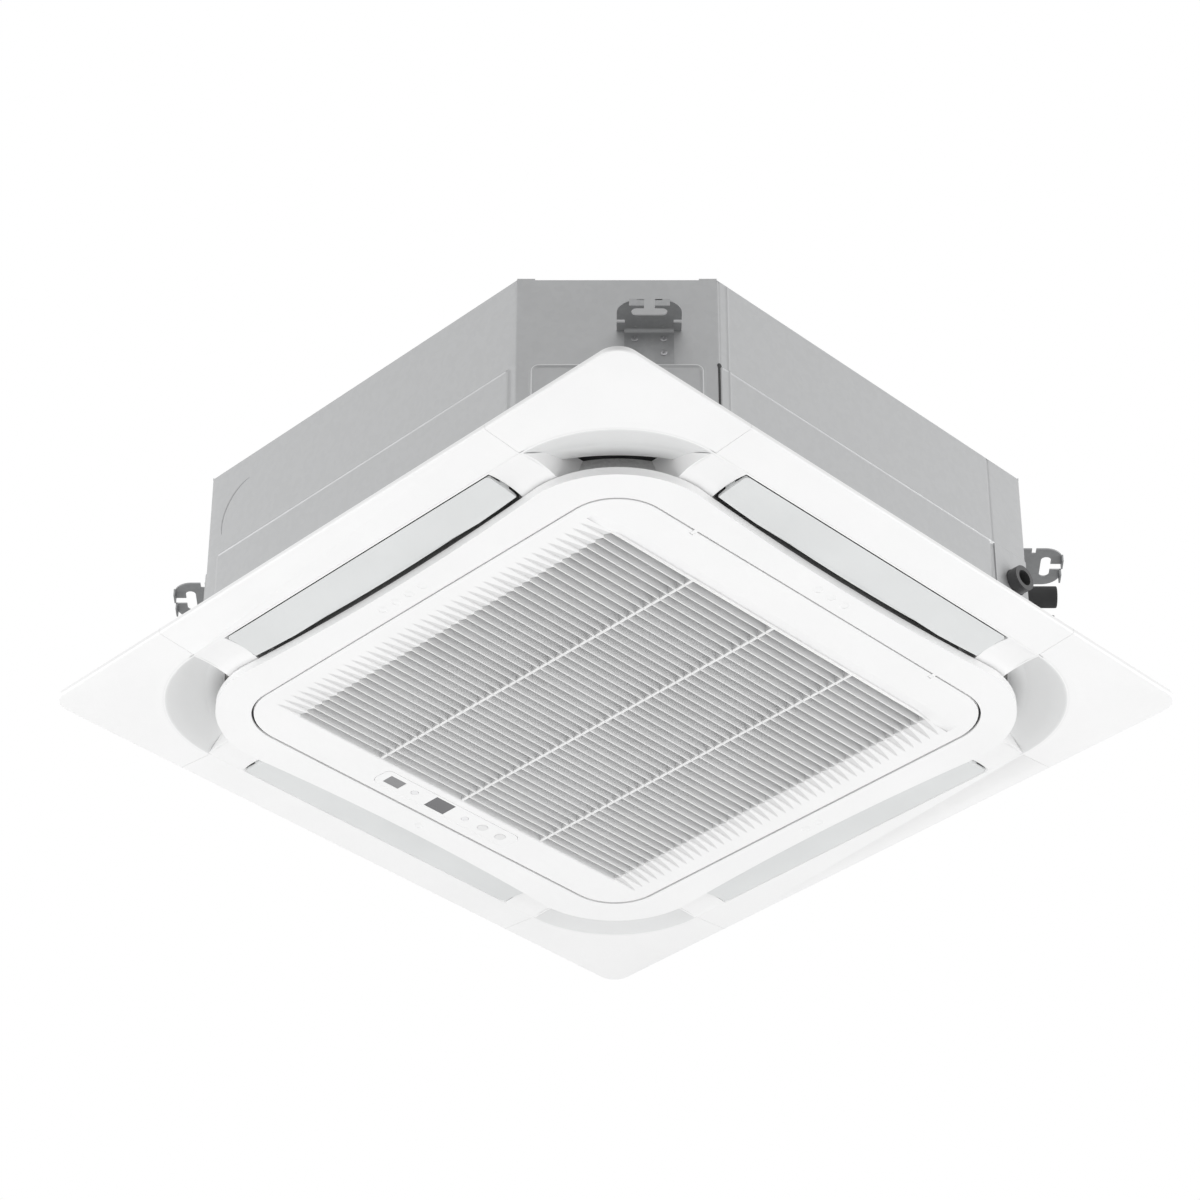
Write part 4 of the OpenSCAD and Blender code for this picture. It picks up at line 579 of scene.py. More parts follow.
def shaded(piece, smooth_angle):
    """Smooth shading in which large faces stay flat up to their rounded edges."""
    for face in piece.data.polygons:
        face.use_smooth = True
        face.material_index = 0
    piece.data.set_sharp_from_angle(angle=math.radians(smooth_angle))
    modifier = piece.modifiers.new("shading", "WEIGHTED_NORMAL")
    modifier.keep_sharp = True
    modifier.weight = SHADING_WEIGHT
    applied(piece)


def mesh_piece(name, bm, finish, body="housing", replaces=(), smooth_angle=40):
    """A piece from a bmesh in millimetres, riding on a body and standing for the named nodes."""
    mesh = as_mesh(name, in_metres(bm))
    mesh.materials.clear()
    mesh.materials.append(FINISHES[finish])
    piece = placed(name, mesh)
    shaded(piece, smooth_angle)
    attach(piece, body)
    if replaces:
        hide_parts(*replaces)
    return piece


def cut_out(piece, bm, name):
    """Subtracts the bmesh, in millimetres, from the piece for good."""
    cutter = placed(name, as_mesh(name, in_metres(bm)))
    modifier = piece.modifiers.new("cut", "BOOLEAN")
    modifier.object = cutter
    modifier.operation = "DIFFERENCE"
    modifier.solver = "EXACT"
    applied(piece)
    bpy.data.objects.remove(cutter)


def merge(bm, mesh):
    """Adds a mesh to a bmesh and removes it."""
    bm.from_mesh(mesh)
    bpy.data.meshes.remove(mesh)


def joined(piece, extras, smooth_angle=40):
    """Adds bmeshes in millimetres to a piece, as further closed solids of it."""
    bm = bmesh.new()
    bm.from_mesh(piece.data)
    for extra in extras:
        merge(bm, as_mesh("extra", in_metres(extra)))
    bm.to_mesh(piece.data)
    bm.free()
    shaded(piece, smooth_angle)


def lathe(bm, profile, at=(0, 0, 0), turn=None, steps=48):
    """Adds a closed surface of revolution about local Z; profile is a list of (radius, z)."""
    rings = []
    for r, z in profile:
        around = [(r * math.cos(2 * math.pi * i / steps), r * math.sin(2 * math.pi * i / steps), z)
                  for i in range(steps)]
        rings.append([bm.verts.new(c) for c in (around if r > 0 else [(0, 0, z)])])
    for low, high in zip(rings, rings[1:]):
        for i in range(steps):
            j = (i + 1) % steps
            loop = (low[i % len(low)], low[j % len(low)], high[j % len(high)], high[i % len(high)])
            distinct = list(dict.fromkeys(loop))
            if len(distinct) > 2:
                bm.faces.new(distinct)
    verts = [v for one in rings for v in one]
    if turn is not None:
        bmesh.ops.transform(bm, matrix=turn, verts=verts)
    bmesh.ops.translate(bm, vec=at, verts=verts)
    return verts


def block(bm, first, second):
    """Adds a box between two opposite corners."""
    made = bmesh.ops.create_cube(bm, size=1.0)["verts"]
    low, high = list(map(min, first, second)), list(map(max, first, second))
    for v in made:
        v.co = Vector([low[k] + (v.co[k] + 0.5) * (high[k] - low[k]) for k in range(3)])


def loft(bm, sections):
    """Adds a closed solid through sections with equal numbers of points."""
    rings = [[bm.verts.new(c) for c in points] for points in sections]
    n = len(rings[0])
    for low, high in zip(rings, rings[1:]):
        for i in range(n):
            bm.faces.new((low[i], low[(i + 1) % n], high[(i + 1) % n], high[i]))
    bm.faces.new(rings[0])
    bm.faces.new(list(reversed(rings[-1])))


def rounded(w, l, r, at=(0, 0), steps=12):
    """The outline of a rounded rectangle, anticlockwise."""
    out = []
    for k, (sx, sy) in enumerate(((1, 1), (-1, 1), (-1, -1), (1, -1))):
        angles = [90 * k + 90 * i / steps for i in range(steps + 1)]
        out += arc(at[0] + sx * (w / 2 - r), at[1] + sy * (l / 2 - r), r, angles)
    return out


def plate(outlines, z0, z1, radius, resolution=3):
    """A flat plate between z0 and z1 with holes and rounded edges; the outlines are lists of (x, y)."""
    curve = bpy.data.curves.new("plate", "CURVE")
    curve.dimensions = "2D"
    curve.fill_mode = "BOTH"
    curve.extrude = (z1 - z0) / 2 - radius
    curve.bevel_depth = radius
    curve.bevel_resolution = resolution
    curve.offset = -radius
    for points in outlines:
        spline = curve.splines.new("POLY")
        spline.points.add(len(points) - 1)
        for target, (x, y) in zip(spline.points, points):
            target.co = (x, y, 0, 1)
        spline.use_cyclic_u = True
    holder = placed("plate", curve)
    graph = bpy.context.evaluated_depsgraph_get()
    bm = bmesh.new()
    merge(bm, bpy.data.meshes.new_from_object(holder.evaluated_get(graph)))
    bmesh.ops.translate(bm, vec=(0, 0, (z0 + z1) / 2), verts=bm.verts)
    bmesh.ops.remove_doubles(bm, verts=bm.verts, dist=0.001)
    bpy.data.objects.remove(holder)
    return bm


def bevelled(bm, angle, radius, segments, test=None):
    """Rounds the edges that are sharper than the angle and, where a test is given, pass it."""
    chosen = [e for e in bm.edges if e.is_manifold and e.calc_face_angle(0) > math.radians(angle)
              and (test is None or test((e.verts[0].co + e.verts[1].co) / 2))]
    if chosen:
        bmesh.ops.bevel(bm, geom=chosen, offset=radius, segments=segments, profile=0.5, affect="EDGES",
                        clamp_overlap=True)


def softened(node, finish, radius, body="housing", rim=None, mesh=None):
    """The node's own form with its edges rounded, as moulded or pressed parts have them.
    rim is a test of an edge's middle in millimetres, for the edges that get the rim's larger radius."""
    bm = bmesh.new()
    bm.from_mesh(mesh or frame["nodes"][node].data)
    bmesh.ops.scale(bm, vec=(1 / MM, 1 / MM, 1 / MM), verts=bm.verts)
    bmesh.ops.remove_doubles(bm, verts=bm.verts, dist=SAME_PLACE)
    bmesh.ops.dissolve_limit(bm, angle_limit=math.radians(FLAT_ANGLE), verts=bm.verts, edges=bm.edges)
    if rim:
        bevelled(bm, angle=RIM_ANGLE, radius=RIM_R, segments=5, test=rim)
    bevelled(bm, angle=EDGE_ANGLE, radius=radius, segments=2)
    return mesh_piece(f"{node}_form", bm, finish, body, (node,))


# Body


def seam(s, place, depth, width):
    return depth * bell(s - place, width)


def side_depth(k, s, z):
    """How far the sheet stands out at s along side k, at height z."""
    low, high = FIELD_SPANS[k]
    near, far = (SHARP_RISE, SLOW_RISE) if k == 0 else (RISE, RISE)
    below = 1 - smooth(FIELD_TOP + FIELD_TOP_RISE[0], FIELD_TOP + FIELD_TOP_RISE[1], z)
    between = smooth(low - FIELD_OVER, low + near, s) * (1 - smooth(high - far, high, s))
    depth = FIELD_PROUD * between * below
    if k == 0:
        above = smooth(FIELD_TOP, FIELD_TOP + FADE_IN, z)
        under = 1 - smooth(FIELD_TOP - FIELD_SEAM_DROP - FADE_IN, FIELD_TOP - FIELD_SEAM_DROP, z)
        depth += BEAD * bell(z - FIELD_TOP, BEAD_W) * smooth(low, low + BEAD_RISE, s)
        depth += seam(s, *RIDGE) + seam(s, *COVER_SEAM) * above
        depth += seam(s, *FIELD_SEAM) * under + seam(s, *EDGE_SEAM) * above
    else:
        along = smooth(low - FADE_IN, low + FADE_IN, s) * (1 - smooth(high - FADE_IN, high + FADE_IN, s))
        up = 1 - smooth(FIELD_TOP - FADE_IN, FIELD_TOP + FADE_IN, z)
        ends = max(bell(s - low, BEAD_W), bell(s - high, BEAD_W)) * up
        depth += BEAD * max(bell(z - FIELD_TOP, BEAD_W) * along, ends)
        if k == 3:
            depth += seam(s, *LAST_SEAM) * up
    return depth


def corner_depth(s, z):
    """The stamped outline on a chamfer, with rounded upper corners."""
    dx, dz = abs(s) - (CORNER_HALF - CORNER_R), z - (FIELD_TOP - CORNER_R)
    if dx > 0 and dz > 0:
        edge = math.hypot(dx, dz) - CORNER_R
    else:
        edge = max(abs(s) - CORNER_HALF, z - FIELD_TOP)
    field = FIELD_PROUD * (1 - smooth(-CORNER_RISE, CREST_IN, edge))
    return field + CORNER_BEAD * bell(edge + CREST_IN, CORNER_BEAD_W)


def around(values, centre, steps=BEND_STEPS):
    """Adds places on both sides of a centre."""
    for d in steps:
        values.update((round(centre + d, 2), round(centre - d, 2)))


def even(values, low, high, step):
    """Adds evenly spaced places from low to high."""
    n = max(1, round((high - low) / step))
    values.update(round(low + (high - low) * i / n, 2) for i in range(n + 1))


def face_columns(angle, out, half, values, side):
    """One face of the body's outline as (x, y, normal, side, s), with a small bend at each edge."""
    c, s0 = turned_by(angle)
    reach = half - EDGE_BEND
    even(values, -reach, reach, GRID)
    places = sorted(s for s in values if abs(s) <= reach)
    return [(out * c - s * s0, out * s0 + s * c, (c, s0), side, s) for s in places]


def body_columns():
    """The outline of the body, side by side and chamfer by chamfer."""
    out = []
    for k in range(4):
        values = set()
        for edge in FIELD_SPANS[k]:
            around(values, edge)
        if k == 0:
            around(values, SLOW_AT, SLOW_STEPS)
            around(values, RIDGE[0])
            around(values, SEAM_AT, SEAM_STEPS)
        out += face_columns(90 * k, HALF, SIDE_HALF, values, k)
        values = set()
        for e in (-1, 1):
            around(values, e * CORNER_HALF)
            bend = e * (CORNER_HALF - CORNER_R / 2)
            even(values, bend - CORNER_R / 2, bend + CORNER_R / 2, FINE_CORNER)
        out += face_columns(90 * k + 45, CHAMFER_U, CHAMFER_HALF, values, None)
    return out


def body_levels():
    """Heights of the sheet skin's rings, close together where the fields end."""
    levels = set()
    even(levels, SHELL_Z0, SHELL_Z1, LEVEL_GRID)
    around(levels, FIELD_TOP)
    even(levels, FIELD_TOP - CORNER_R - BEND_STEPS[-1], FIELD_TOP + FADE_IN, FINE_LEVEL)
    return sorted(v for v in levels if SHELL_Z0 <= v <= SHELL_Z1)


def casing_skin():
    """The body's sheet steel sides, with drawn fields, beads, lower lip, and drain and pipe holes."""
    columns, levels = body_columns(), body_levels()
    bm = bmesh.new()

    def ring(offset, z, embossed):
        made = []
        for x, y, (nx, ny), k, s in columns:
            d = offset
            if embossed:
                d += corner_depth(s, z) if k is None else side_depth(k, s, z)
            made.append(bm.verts.new((x + nx * d, y + ny * d, z)))
        return made

    rings = [ring(-LIP, SHELL_Z0, False), ring(0, SHELL_Z0, True)]
    rings += [ring(0, z, True) for z in levels[1:]]
    rings += [ring(-SHEET, z, True) for z in reversed(levels[1:])]
    rings += [ring(-SHEET, SHELL_Z0 + SHEET, True), ring(-LIP, SHELL_Z0 + SHEET, False)]
    n = len(columns)
    for low, high in zip(rings, rings[1:] + rings[:1]):
        for i in range(n):
            j = (i + 1) % n
            bm.faces.new((low[i], low[j], high[j], high[i]))
    piece = mesh_piece("casing_skin", bm, "galvanized", replaces=("casing_shell",), smooth_angle=28)
    cut_out(piece, casing_holes(), "casing_holes")
    shaded(piece, smooth_angle=28)


def hole(bm, at, diameter, turn):
    r = diameter / 2 + HOLE_GAP
    low, high = HOLE_REACH
    lathe(bm, [(0, low), (r, low), (r, high), (0, high)], at, turn)


def casing_holes():
    """What is cut out of the sheet: drain and pipe holes, and the groove of the black strip."""
    holes = bmesh.new()
    hole(holes, (HALF, DRAIN_Y, DRAIN_Z), DRAIN_D, ALONG_X)
    for v, z, diameter in PIPES:
        hole(holes, (*at_chamfer(1, 1, CHAMFER_U, v), z), diameter, about_z(45) @ ALONG_X)
    block(holes, (HALF - GROOVE_DEEP, GROOVE_Y[0], SHELL_Z0 - CUT_OVER),
          (HALF + GROOVE_OUT, GROOVE_Y[1], FIELD_TOP + GROOVE_UP))
    return holes


def side_gap_shade_strip():
    """A black strip with a round head in the groove near the end of the +X side, painting the shade of the
    gap.
    """
    bm = bmesh.new()
    block(bm, (HALF - STRIP_DEEP, STRIP_Y[0], SHELL_Z0), (HALF + STRIP_PROUD, STRIP_Y[1], FIELD_TOP))
    lathe(bm, STRIP_HEAD, (HALF, STRIP_HEAD_Y, FIELD_TOP + STRIP_HEAD_UP), ALONG_X, 24)
    mesh_piece("side_gap_shade_strip", bm, "black_rubber")


def knockout_shade():
    """A thin dark crescent on the -Y side along part of the fresh air knock-out's ring, painting the shade
    that shows there.
    """
    bm = bmesh.new()
    sections = []
    for i in range(KNOCKOUT_STEPS + 1):
        share = i / KNOCKOUT_STEPS
        c, s = turned_by(KNOCKOUT_FROM + KNOCKOUT_TURN * share)
        half = KNOCKOUT_LINE + KNOCKOUT_SWELL * math.sin(math.pi * share) ** KNOCKOUT_POWER
        outline = [(-half, KNOCKOUT_OUT), (half, KNOCKOUT_OUT), (half, -KNOCKOUT_IN), (-half, -KNOCKOUT_IN)]
        sections.append([(KNOCKOUT_X + (KNOCKOUT_R + r) * c, y - HALF, KNOCKOUT_Z + (KNOCKOUT_R + r) * s)
                         for r, y in outline])
    loft(bm, sections)
    mesh_piece("knockout_shade_arc", bm, "bracket_steel")


def chamfer_crest_highlights():
    """A bright strip along the crest of the stamped outline on each chamfer: a painted highlight."""
    inset, r, top = CORNER_HALF - CREST_IN, CORNER_R - CREST_IN, FIELD_TOP - CREST_IN
    path = [(-inset, SHELL_Z0 + CREST_FOOT, -1, 0), (-inset, top - r, -1, 0)]
    for c, s in map(turned_by, range(15, 91, 15)):
        path.append((-inset + r - r * c, top - r + r * s, -c, s))
    path += [(-s, z, -n, m) for s, z, n, m in reversed(path)]
    bm = bmesh.new()
    for k in range(4):
        c, s0 = turned_by(45 + 90 * k)
        sections = []
        for s, z, n, m in path:
            section = []
            for side, proud in CREST_SECTION:
                u, along = CHAMFER_U + corner_depth(s, z) + proud, s + n * side
                section.append((u * c - along * s0, u * s0 + along * c, z + m * side))
            sections.append(section)
        loft(bm, sections)
    mesh_piece("chamfer_crest_highlights", bm, "crest_painted_highlight", smooth_angle=60)


def bracket_plan():
    """The outline of a bracket's flange as (u, v), with an open rod slot and two notches."""
    out, w, r = FLANGE_OUT, FLANGE_HALF, FLANGE_R
    slot, slot_r, slot_v = ROD_SLOT_U, ROD_SLOT_R, ROD_SLOT_HALF
    near, far = RELIEF_U - RELIEF_HALF, RELIEF_U + RELIEF_HALF
    points = [(FLANGE_IN, -w), (near, -w), (near, -w + RELIEF_DEEP), (far, -w + RELIEF_DEEP), (far, -w)]
    points += arc(out - r, -w + r, r, range(-90, 1, 10))
    points += [(out, -slot_r), (slot + slot_r, -slot_r), (slot + slot_r, -slot_v)]
    points += arc(slot, -slot_v, slot_r, range(-20, -181, -20))
    points += arc(slot, slot_v, slot_r, range(180, -1, -20))
    points += [(slot + slot_r, slot_r), (out, slot_r)]
    points += arc(out - r, w - r, r, range(0, 91, 10))
    points += [(far, w), (far, w - RELIEF_DEEP), (near, w - RELIEF_DEEP), (near, w), (FLANGE_IN, w)]
    return points


def bracket_bend():
    """The section of a bracket's leg and its rounded bend as (u, z)."""
    top, t, r = BRACKET_Z + BRACKET_T, BRACKET_T, LEG_BEND
    centre = (t + r, BRACKET_Z - r)
    bend = [(0, centre[1] - LEG_TOP_IN), (0, LEG_LOW), (t, LEG_LOW), (t, centre[1] - LEG_TOP_OUT)]
    bend += arc(*centre, r, range(180, 89, -15))
    bend += [(centre[0], top)]
    bend += arc(*centre, r + t, range(105, 181, 15))
    return bend


def brackets():
    """The four hanger brackets, bent from sheet: flange, leg with a rounded bend, and turned tabs."""
    bm = bmesh.new()
    top, tab_u = BRACKET_Z + BRACKET_T, FLANGE_OUT - BRACKET_T
    for sx in (-1, 1):
        for sy in (-1, 1):
            one = plate([bracket_plan()], BRACKET_Z, top, FLANGE_EDGE, resolution=1)
            loft(one, [[(u, v, z) for u, z in bracket_bend()] for v in (-LEG_HALF, LEG_HALF)])
            for s in (-1, 1):
                block(one, (tab_u, s * ROD_SLOT_R, TAB_LOW), (FLANGE_OUT, s * TAB_END, top))
                lathe(one, RIVET, (RIVET_U, s * RIVET_V, BRACKET_Z), facing(0, 0, -1), 16)
            for v in one.verts:
                x, y = at_chamfer(sx, sy, CHAMFER_U + v.co.x, BRACKET_V + v.co.y)
                v.co.x, v.co.y = x, y
            merge(bm, as_mesh("one", one))
    mesh_piece("hanger_brackets_form", bm, "bracket_steel", replaces=("hanger_brackets",))


def screw(bm, at, turn, head_d, head_h, shank_d, shank_l):
    """A domed screw with a cross recess; local Z points out of the head, z = 0 is its seat."""
    r, shank = head_d / 2, shank_d / 2
    dome = head_h - HEAD_RIM
    profile = [(0, -shank_l), (shank - POINT_IN, -shank_l), (shank, -shank_l + SHANK_POINT), (shank, 0),
               (r - HEAD_ROUND, 0), (r, HEAD_ROUND), (r, HEAD_RIM)]
    profile += [(r * c, HEAD_RIM + dome * s) for c, s in map(turned_by, (20, 40, 60))]
    verts = lathe(bm, profile, steps=32)
    highest = [v for v in verts if v.co.z > profile[-1][1] - 0.01]
    rim = sorted(highest, key=lambda v: math.atan2(v.co.y, v.co.x))
    reach, w = CROSS_REACH_SHARE * r, CROSS_W_SHARE * r
    cross = [(reach, -w), (reach, w), (w, w), (w, reach), (-w, reach), (-w, w), (-reach, w), (-reach, -w),
             (-w, -w), (-w, -reach), (w, -reach), (w, -w)]
    foot = CROSS_FOOT_SHARE
    upper = [bm.verts.new((x, y, head_h)) for x, y in cross]
    lower = [bm.verts.new((x * foot, y * foot, head_h * CROSS_DEPTH_SHARE)) for x, y in cross]
    n = len(cross)
    for i in range(n):
        bm.faces.new((upper[i], lower[i], lower[(i + 1) % n], upper[(i + 1) % n]))
    bm.faces.new(lower)
    edges = [bm.edges.get(pair) for loop in (rim, upper) for pair in zip(loop, loop[1:] + loop[:1])]
    bmesh.ops.triangle_fill(bm, edges=edges, use_beauty=True)
    moved = verts + upper + lower
    bmesh.ops.transform(bm, matrix=turn, verts=moved)
    bmesh.ops.translate(bm, vec=at, verts=moved)


def body_screws():
    """The screws of the hanger brackets and of the motor base on the top plate."""
    bm = bmesh.new()
    for sx in (-1, 1):
        for sy in (-1, 1):
            for side in (-1, 1):
                for drop in BRACKET_SCREW_DROPS:
                    along = BRACKET_V + side * BRACKET_SCREW_V
                    x, y = at_chamfer(sx, sy, CHAMFER_U + BRACKET_T, along)
                    screw(bm, (x, y, BRACKET_Z - drop), facing(sx, sy, 0), *BRACKET_SCREW)
    for x, y in arc(0, 0, MOTOR_SCREW_R, range(45, 360, 90)):
        screw(bm, (x, y, MOTOR_SCREW_Z), facing(0, 0, 1), *MOTOR_SCREW)
    mesh_piece("body_screws_form", bm, "screw_steel", replaces=("body_screws",), smooth_angle=50)


# Panel


def on_rim(middle_of_edge):
    """Tells whether a point lies on the outer edge of the panel's face."""
    x, y, z = middle_of_edge
    return abs(z - RIM_Z) < RIM_OFF and max(abs(x), abs(y)) > RIM_FROM


def louvre(k):
    """A louvre with clear ends: the blade stays a little further from the bridges than the plain solid."""
    source = frame["nodes"][f"louvre_{k}"].data.copy()
    along, across = (1, 0) if k in (1, 3) else (0, 1)
    sides = [abs(v.co[across]) for v in source.vertices]
    inner, outer = min(sides) + LOUVRE_EDGE * MM, max(sides) - LOUVRE_EDGE * MM
    for v in source.vertices:
        place, z = v.co[along], v.co.z
        if abs(place) > LOUVRE_END_FROM * MM and z < LOUVRE_END_Z * MM:
            clear = LOUVRE_END + (LOUVRE_TIP if z < LOUVRE_TIP_Z * MM else 0)
            v.co[along] = place - math.copysign(clear * MM, place)
        out = v.co[across]
        if abs(out) < inner:
            v.co[across] = out + math.copysign(LOUVRE_IN * MM, out)
        elif abs(out) > outer:
            v.co[across] = out - math.copysign(LOUVRE_OUT * MM, out)
    softened(f"louvre_{k}", "louvre_plastic", LOUVRE_EDGE_R, body=f"louvre_{k}", mesh=source)


def panel_ring():
    """The ring between the outlets and the grille, with its round index dimples."""
    blank = placed("ring_blank", frame["nodes"]["panel_ring"].data.copy())
    dimples = bmesh.new()
    for k, count in enumerate(DIMPLE_COUNTS):
        for i in range(count):
            along = (i - (count - 1) / 2) * DIMPLE_STEP
            lathe(dimples, DIMPLE, about_z(90 * k) @ Vector((DIMPLE_OUT, along, FACE_Z)))
    cut_out(blank, dimples, "dimples")
    mesh = blank.data
    bpy.data.objects.remove(blank)
    softened("panel_ring", "white_plastic", RING_EDGE_R, mesh=mesh)


def outlet_shade_sheets():
    """Grey sheets around the panel's core wall, seen through the outlets, that paint the shade there,
    darker behind the louvres.
    """
    inner_w, inner_r = CHANNEL_SHADE_W - 2 * CHANNEL_SHADE_T, CHANNEL_SHADE_R - CHANNEL_SHADE_T
    outlines = [rounded(CHANNEL_SHADE_W, CHANNEL_SHADE_W, CHANNEL_SHADE_R), rounded(inner_w, inner_w, inner_r)]
    tape = plate(outlines, *CHANNEL_SHADE_Z, CHANNEL_SHADE_EDGE, resolution=1)
    strips = bmesh.new()
    near, far = GAP_SHADE_OUT
    half = GAP_SHADE_HALF
    for s in (-1, 1):
        block(strips, (s * near, -half, GAP_SHADE_Z[0]), (s * far, half, GAP_SHADE_Z[1]))
        block(strips, (-half, s * near, GAP_SHADE_Z[0]), (half, s * far, GAP_SHADE_Z[1]))
    mesh_piece("louvre_gap_shade_sheet", strips, "louvre_gap_painted_shade")
    mesh_piece("channel_shade_sheet", tape, "channel_painted_shade")


def guide_point(angle, t, lift):
    """A point at t of the guide's profile, lift below its surface."""
    if t < 0:
        start, end, t = GUIDE_SHOULDER, GUIDE_FACE, -t
    elif t < 1:
        start, end = GUIDE_SHOULDER, GUIDE_LIP
    else:
        start, end, t = GUIDE_LIP, GUIDE_LEDGE, t - 1
    centre, radius, z = [a + (b - a) * t for a, b in zip(start, end)]
    c, s = turned_by(angle)
    return centre + radius * c, centre + radius * s, z - lift


def guides():
    """The smooth guide surface of each corner outlet, from its rounded shoulder to its lip, in a grey that
    paints its shade.
    """
    bm = bmesh.new()
    for k in range(4):
        sections = []
        for i in range(GUIDE_STEPS + 1):
            angle = 90.0 * i / GUIDE_STEPS
            face = [guide_point(angle, t, lift) for t, lift in GUIDE_PROFILE]
            back = [guide_point(angle, t, lift * GUIDE_BACK_SHARE) for t, lift in reversed(GUIDE_PROFILE)]
            sections.append([about_z(90 * k) @ Vector(c) for c in face + back])
        loft(bm, sections)
    mesh_piece("corner_guides", bm, "guide_painted_shade", smooth_angle=60)


# Grille and display


def blade(bm, x0, half, top):
    """One thin deep blade with rounded lower edges."""
    r = BLADE_ROUND
    section = [(0, top), (0, FACE_Z + r), (r, FACE_Z), (BLADE_EDGE - r, FACE_Z), (BLADE_EDGE, FACE_Z + r),
               (BLADE_TOP, top)]
    loft(bm, [[(x0 + x, y, z) for x, z in section] for y in (-half, half)])


def taper(ends, shade_skins, x0, s, half, top):
    """The end of one slot, in which it runs out into the border, and the grey skin on its slope that paints
    the slot end's shade.
    """
    sections, covers = [], []
    for m in range(TAPER_STEPS + 1):
        t = 1 - m / TAPER_STEPS
        d = TAPER_DEEP * t ** TAPER_DEEP_POWER
        near = BLADE_EDGE + TAPER_GAP + TAPER_LEAN * d
        far = near + TAPER_GAP + (SLOT_PITCH - near - 3 * TAPER_GAP) * t ** TAPER_WIDE_POWER
        y = s * (half + TAPER * m / TAPER_STEPS)
        end = [(0, FACE_Z), (BLADE_EDGE, FACE_Z), (near, FACE_Z + d), (far, FACE_Z), (SLOT_PITCH, FACE_Z),
               (SLOT_PITCH, top), (0, top)]
        skin = [(near + SKIN_NEAR, FACE_Z + d - SKIN_SINK * t), (far - SKIN_FAR, FACE_Z + SKIN_LOW),
                (far, FACE_Z + SKIN_RISE), (near, FACE_Z + d + SKIN_UP)]
        sections.append([(x0 + x, y, z) for x, z in end])
        covers.append([(x0 + x, y, z) for x, z in skin])
    loft(ends, sections)
    loft(shade_skins, covers)


def ramp(bm, x0, half, top):
    """The slope from the last blade to the border on the +X side."""
    sections = []
    places = (half - RAMP_IN, half + RAMP_OUT, half + TAPER)
    for y in [-y for y in reversed(places)] + list(places):
        rise = RAMP_RISE if abs(y) < half else RAMP_LEFT
        r, end = RAMP_ROUND, BLADE_EDGE + RAMP
        section = [(0, top), (0, FACE_Z + min(BLADE_ROUND, rise)), (BLADE_ROUND, FACE_Z),
                   (BLADE_EDGE - r, FACE_Z), (BLADE_EDGE, FACE_Z + min(r, rise)),
                   (BLADE_EDGE + r, FACE_Z + rise),
                   (BLADE_EDGE + RAMP_BEND, FACE_Z + rise * RAMP_BEND_SHARE), (end, FACE_Z), (end, top)]
        sections.append([(x0 + x, y, z) for x, z in section])
    loft(bm, sections)


def cross_ribs(bm, low, high, half, top):
    """The three ribs across the blades, set back a little from their edges."""
    cell = (SLOT_FIELD - 3 * CROSS_RIB) / 4
    (w, foot), (edge, face) = RIB_SECTION
    section = [(-w, top - RIB_TOP_GAP), (-w, FACE_Z + foot), (-edge, FACE_Z + face), (edge, FACE_Z + face),
               (w, FACE_Z + foot), (w, top - RIB_TOP_GAP)]
    for j in (1, 2, 3):
        y = j * (cell + CROSS_RIB) - CROSS_RIB / 2 - half
        loft(bm, [[(x, y + v, z) for v, z in section] for x in (low, high)])


def slotted_field(field, ends, shade_skins):
    """Blades and cross ribs into field, tapers and ramp into ends, and the slopes' grey skins, which paint
    their shade, into the third bmesh.
    Gives back the field's corners as (x, y)."""
    top, half = FACE_Z + SLAT_H, SLOT_FIELD / 2
    first = SLOT_X0 + (SLOT_W - SLOT_PITCH) / 2
    last = first + SLOT_PITCH * SLOT_COUNT
    for i in range(SLOT_COUNT):
        x0 = first + SLOT_PITCH * i
        blade(field, x0, half, top)
        for s in (-1, 1):
            taper(ends, shade_skins, x0, s, half, top)
    ramp(ends, last, half, top)
    cross_ribs(field, first + RIB_END, last + RIB_END, half, top)
    return (first, -half - TAPER), (last + BLADE_EDGE + RAMP, half + TAPER)


def filter_clips(bm):
    """The four hooks that hold the filter frame behind the slats."""
    near, far = CLIP_Y
    foot, lip = FACE_Z + GRILLE_T - SINK, CLIP_TOP - CLIP_LIP_T
    for x in (-CLIP_X, CLIP_X):
        low, high = x - CLIP_HALF, x + CLIP_HALF
        for s in (-1, 1):
            block(bm, (low, s * near, foot), (high, s * far, CLIP_TOP))
            block(bm, (low, s * (near - CLIP_LIP), lip), (high, s * far, CLIP_TOP))


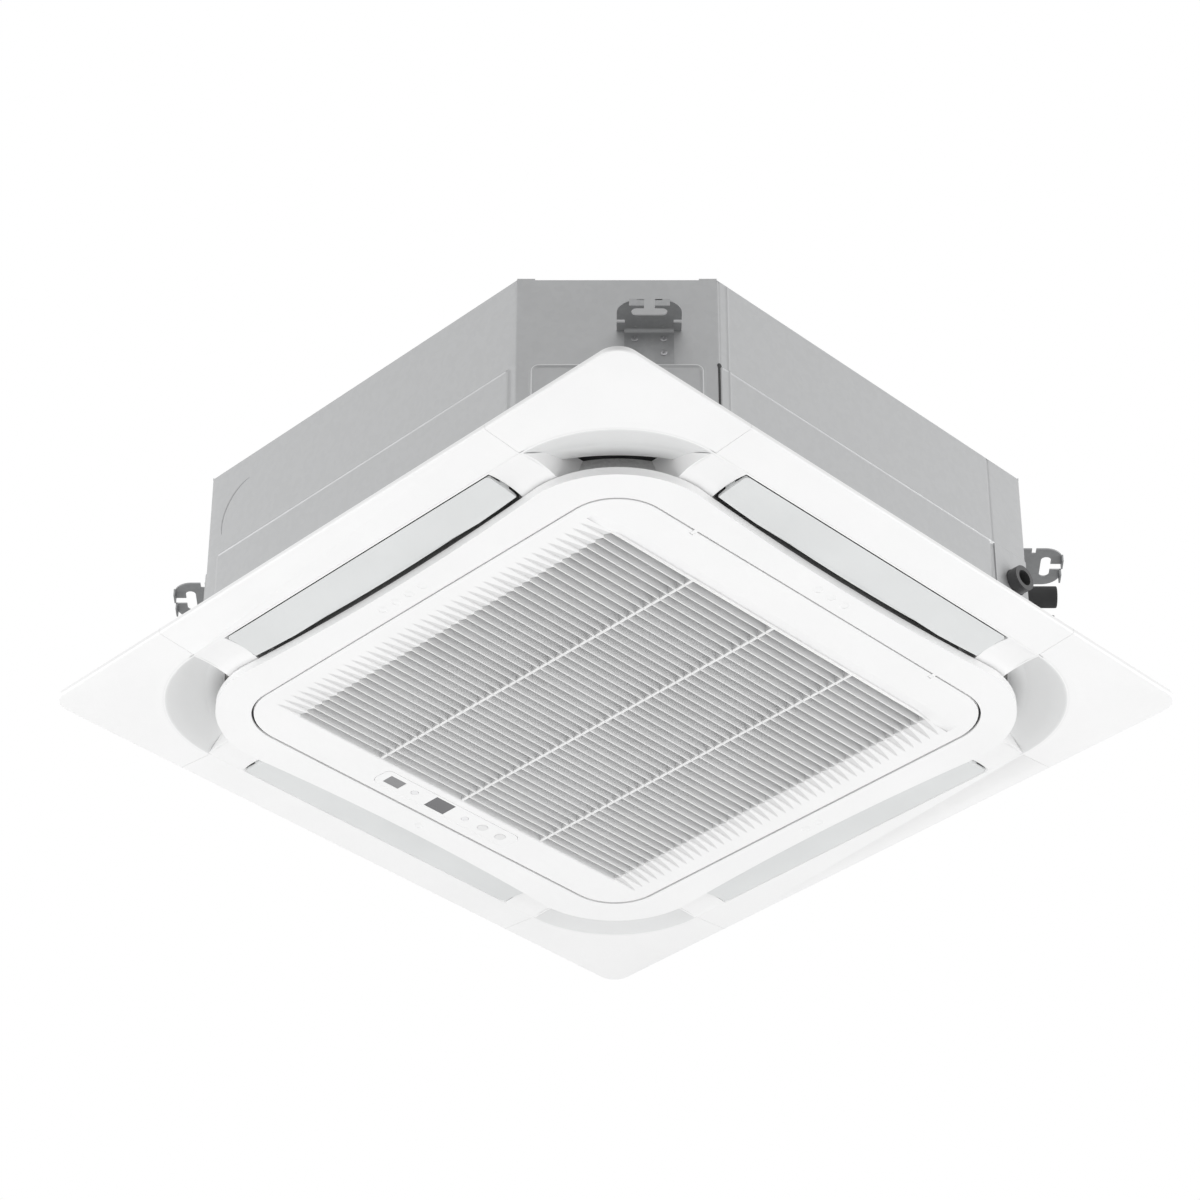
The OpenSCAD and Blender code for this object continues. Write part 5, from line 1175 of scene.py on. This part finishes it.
def grille():
    """The intake grille with its border, slotted field, rear wall and filter clips."""
    width = corners("intake_grille")[1][0] * 2 - BORDER_IN
    display_hole = rounded(DISPLAY_W + DISPLAY_GAP, DISPLAY_L + DISPLAY_GAP, DISPLAY_R, (DISPLAY_X, 0))
    border = plate([rounded(width, width, BORDER_R), display_hole], FACE_Z, FACE_Z + GRILLE_T, BORDER_EDGE)
    field, ends, shade_skins = bmesh.new(), bmesh.new(), bmesh.new()
    low, high = slotted_field(field, ends, shade_skins)
    piece = mesh_piece("intake_grille_form", border, "white_plastic", "grille", ("intake_grille",))
    window = bmesh.new()
    below, above = FACE_Z - CUT_OVER, FACE_Z + GRILLE_T + CUT_OVER
    block(window, (*low, below), (*high, above))
    for s in (-1, 1):
        y = s * NOTCH_Y
        block(window, (NOTCH_X[0], y - NOTCH_HALF, below), (NOTCH_X[1], y + NOTCH_HALF, above))
    cut_out(piece, window, "grille_window")
    inner_w, inner_r = WALL_W - 2 * WALL_T, WALL_R - WALL_T
    outlines = [rounded(WALL_W, WALL_W, WALL_R), rounded(inner_w, inner_w, inner_r)]
    wall = plate(outlines, FACE_Z + GRILLE_T - SINK, WALL_TOP, WALL_EDGE)
    filter_clips(ends)
    joined(piece, (ends, wall))
    # The blades' darker grey paints the shade between them
    mesh_piece("grille_blades", field, "blade_painted_shade", "grille")
    mesh_piece("grille_tapers", shade_skins, "taper_painted_shade", "grille")


def window_pane(name, half, y, finish, replaces=()):
    """One dark pane of the display, set back a little from its face."""
    bm = bmesh.new()
    block(bm, (DISPLAY_X - half, y[0], WINDOW_Z[0]), (DISPLAY_X + half, y[1], WINDOW_Z[1]))
    mesh_piece(name, bm, finish, "grille", replaces, 30)


def display():
    """The display's two windows and its two pale lamps with their thin rims."""
    window_pane("display_window", WINDOW_HALF, WINDOW_Y, "window_plastic", ("display_windows",))
    window_pane("display_receiver", RECEIVER_HALF, RECEIVER_Y, "receiver_plastic")
    lights = bmesh.new()
    for y in LAMP_Y:
        lathe(lights, LAMP, (DISPLAY_X, y, FACE_Z))
    mesh_piece("display_lamps", lights, "lamp_plastic", "grille", (), 30)


def dress():
    """The pieces that stand for the nodes that show."""
    casing_skin()
    side_gap_shade_strip()
    knockout_shade()
    chamfer_crest_highlights()
    body_screws()
    softened("panel_frame", "white_plastic", EDGE_R, rim=on_rim)
    for k in (1, 2, 3, 4):
        softened(f"corner_cover_{k}", "white_plastic", EDGE_R, rim=on_rim)
        louvre(k)
    grille()
    panel_ring()
    brackets()
    outlet_shade_sheets()
    guides()
    display()
    softened("display_cover", "white_plastic", EDGE_R, body="grille")
    softened("pipe_caps", "black_rubber", CAP_EDGE_R)
    softened("drain_outlet", "dark_plastic", OUTLET_EDGE_R)


finish_nodes()
dress()
world()
floor()
camera()
lamps()
bpy.context.scene.view_settings.view_transform = "Standard"
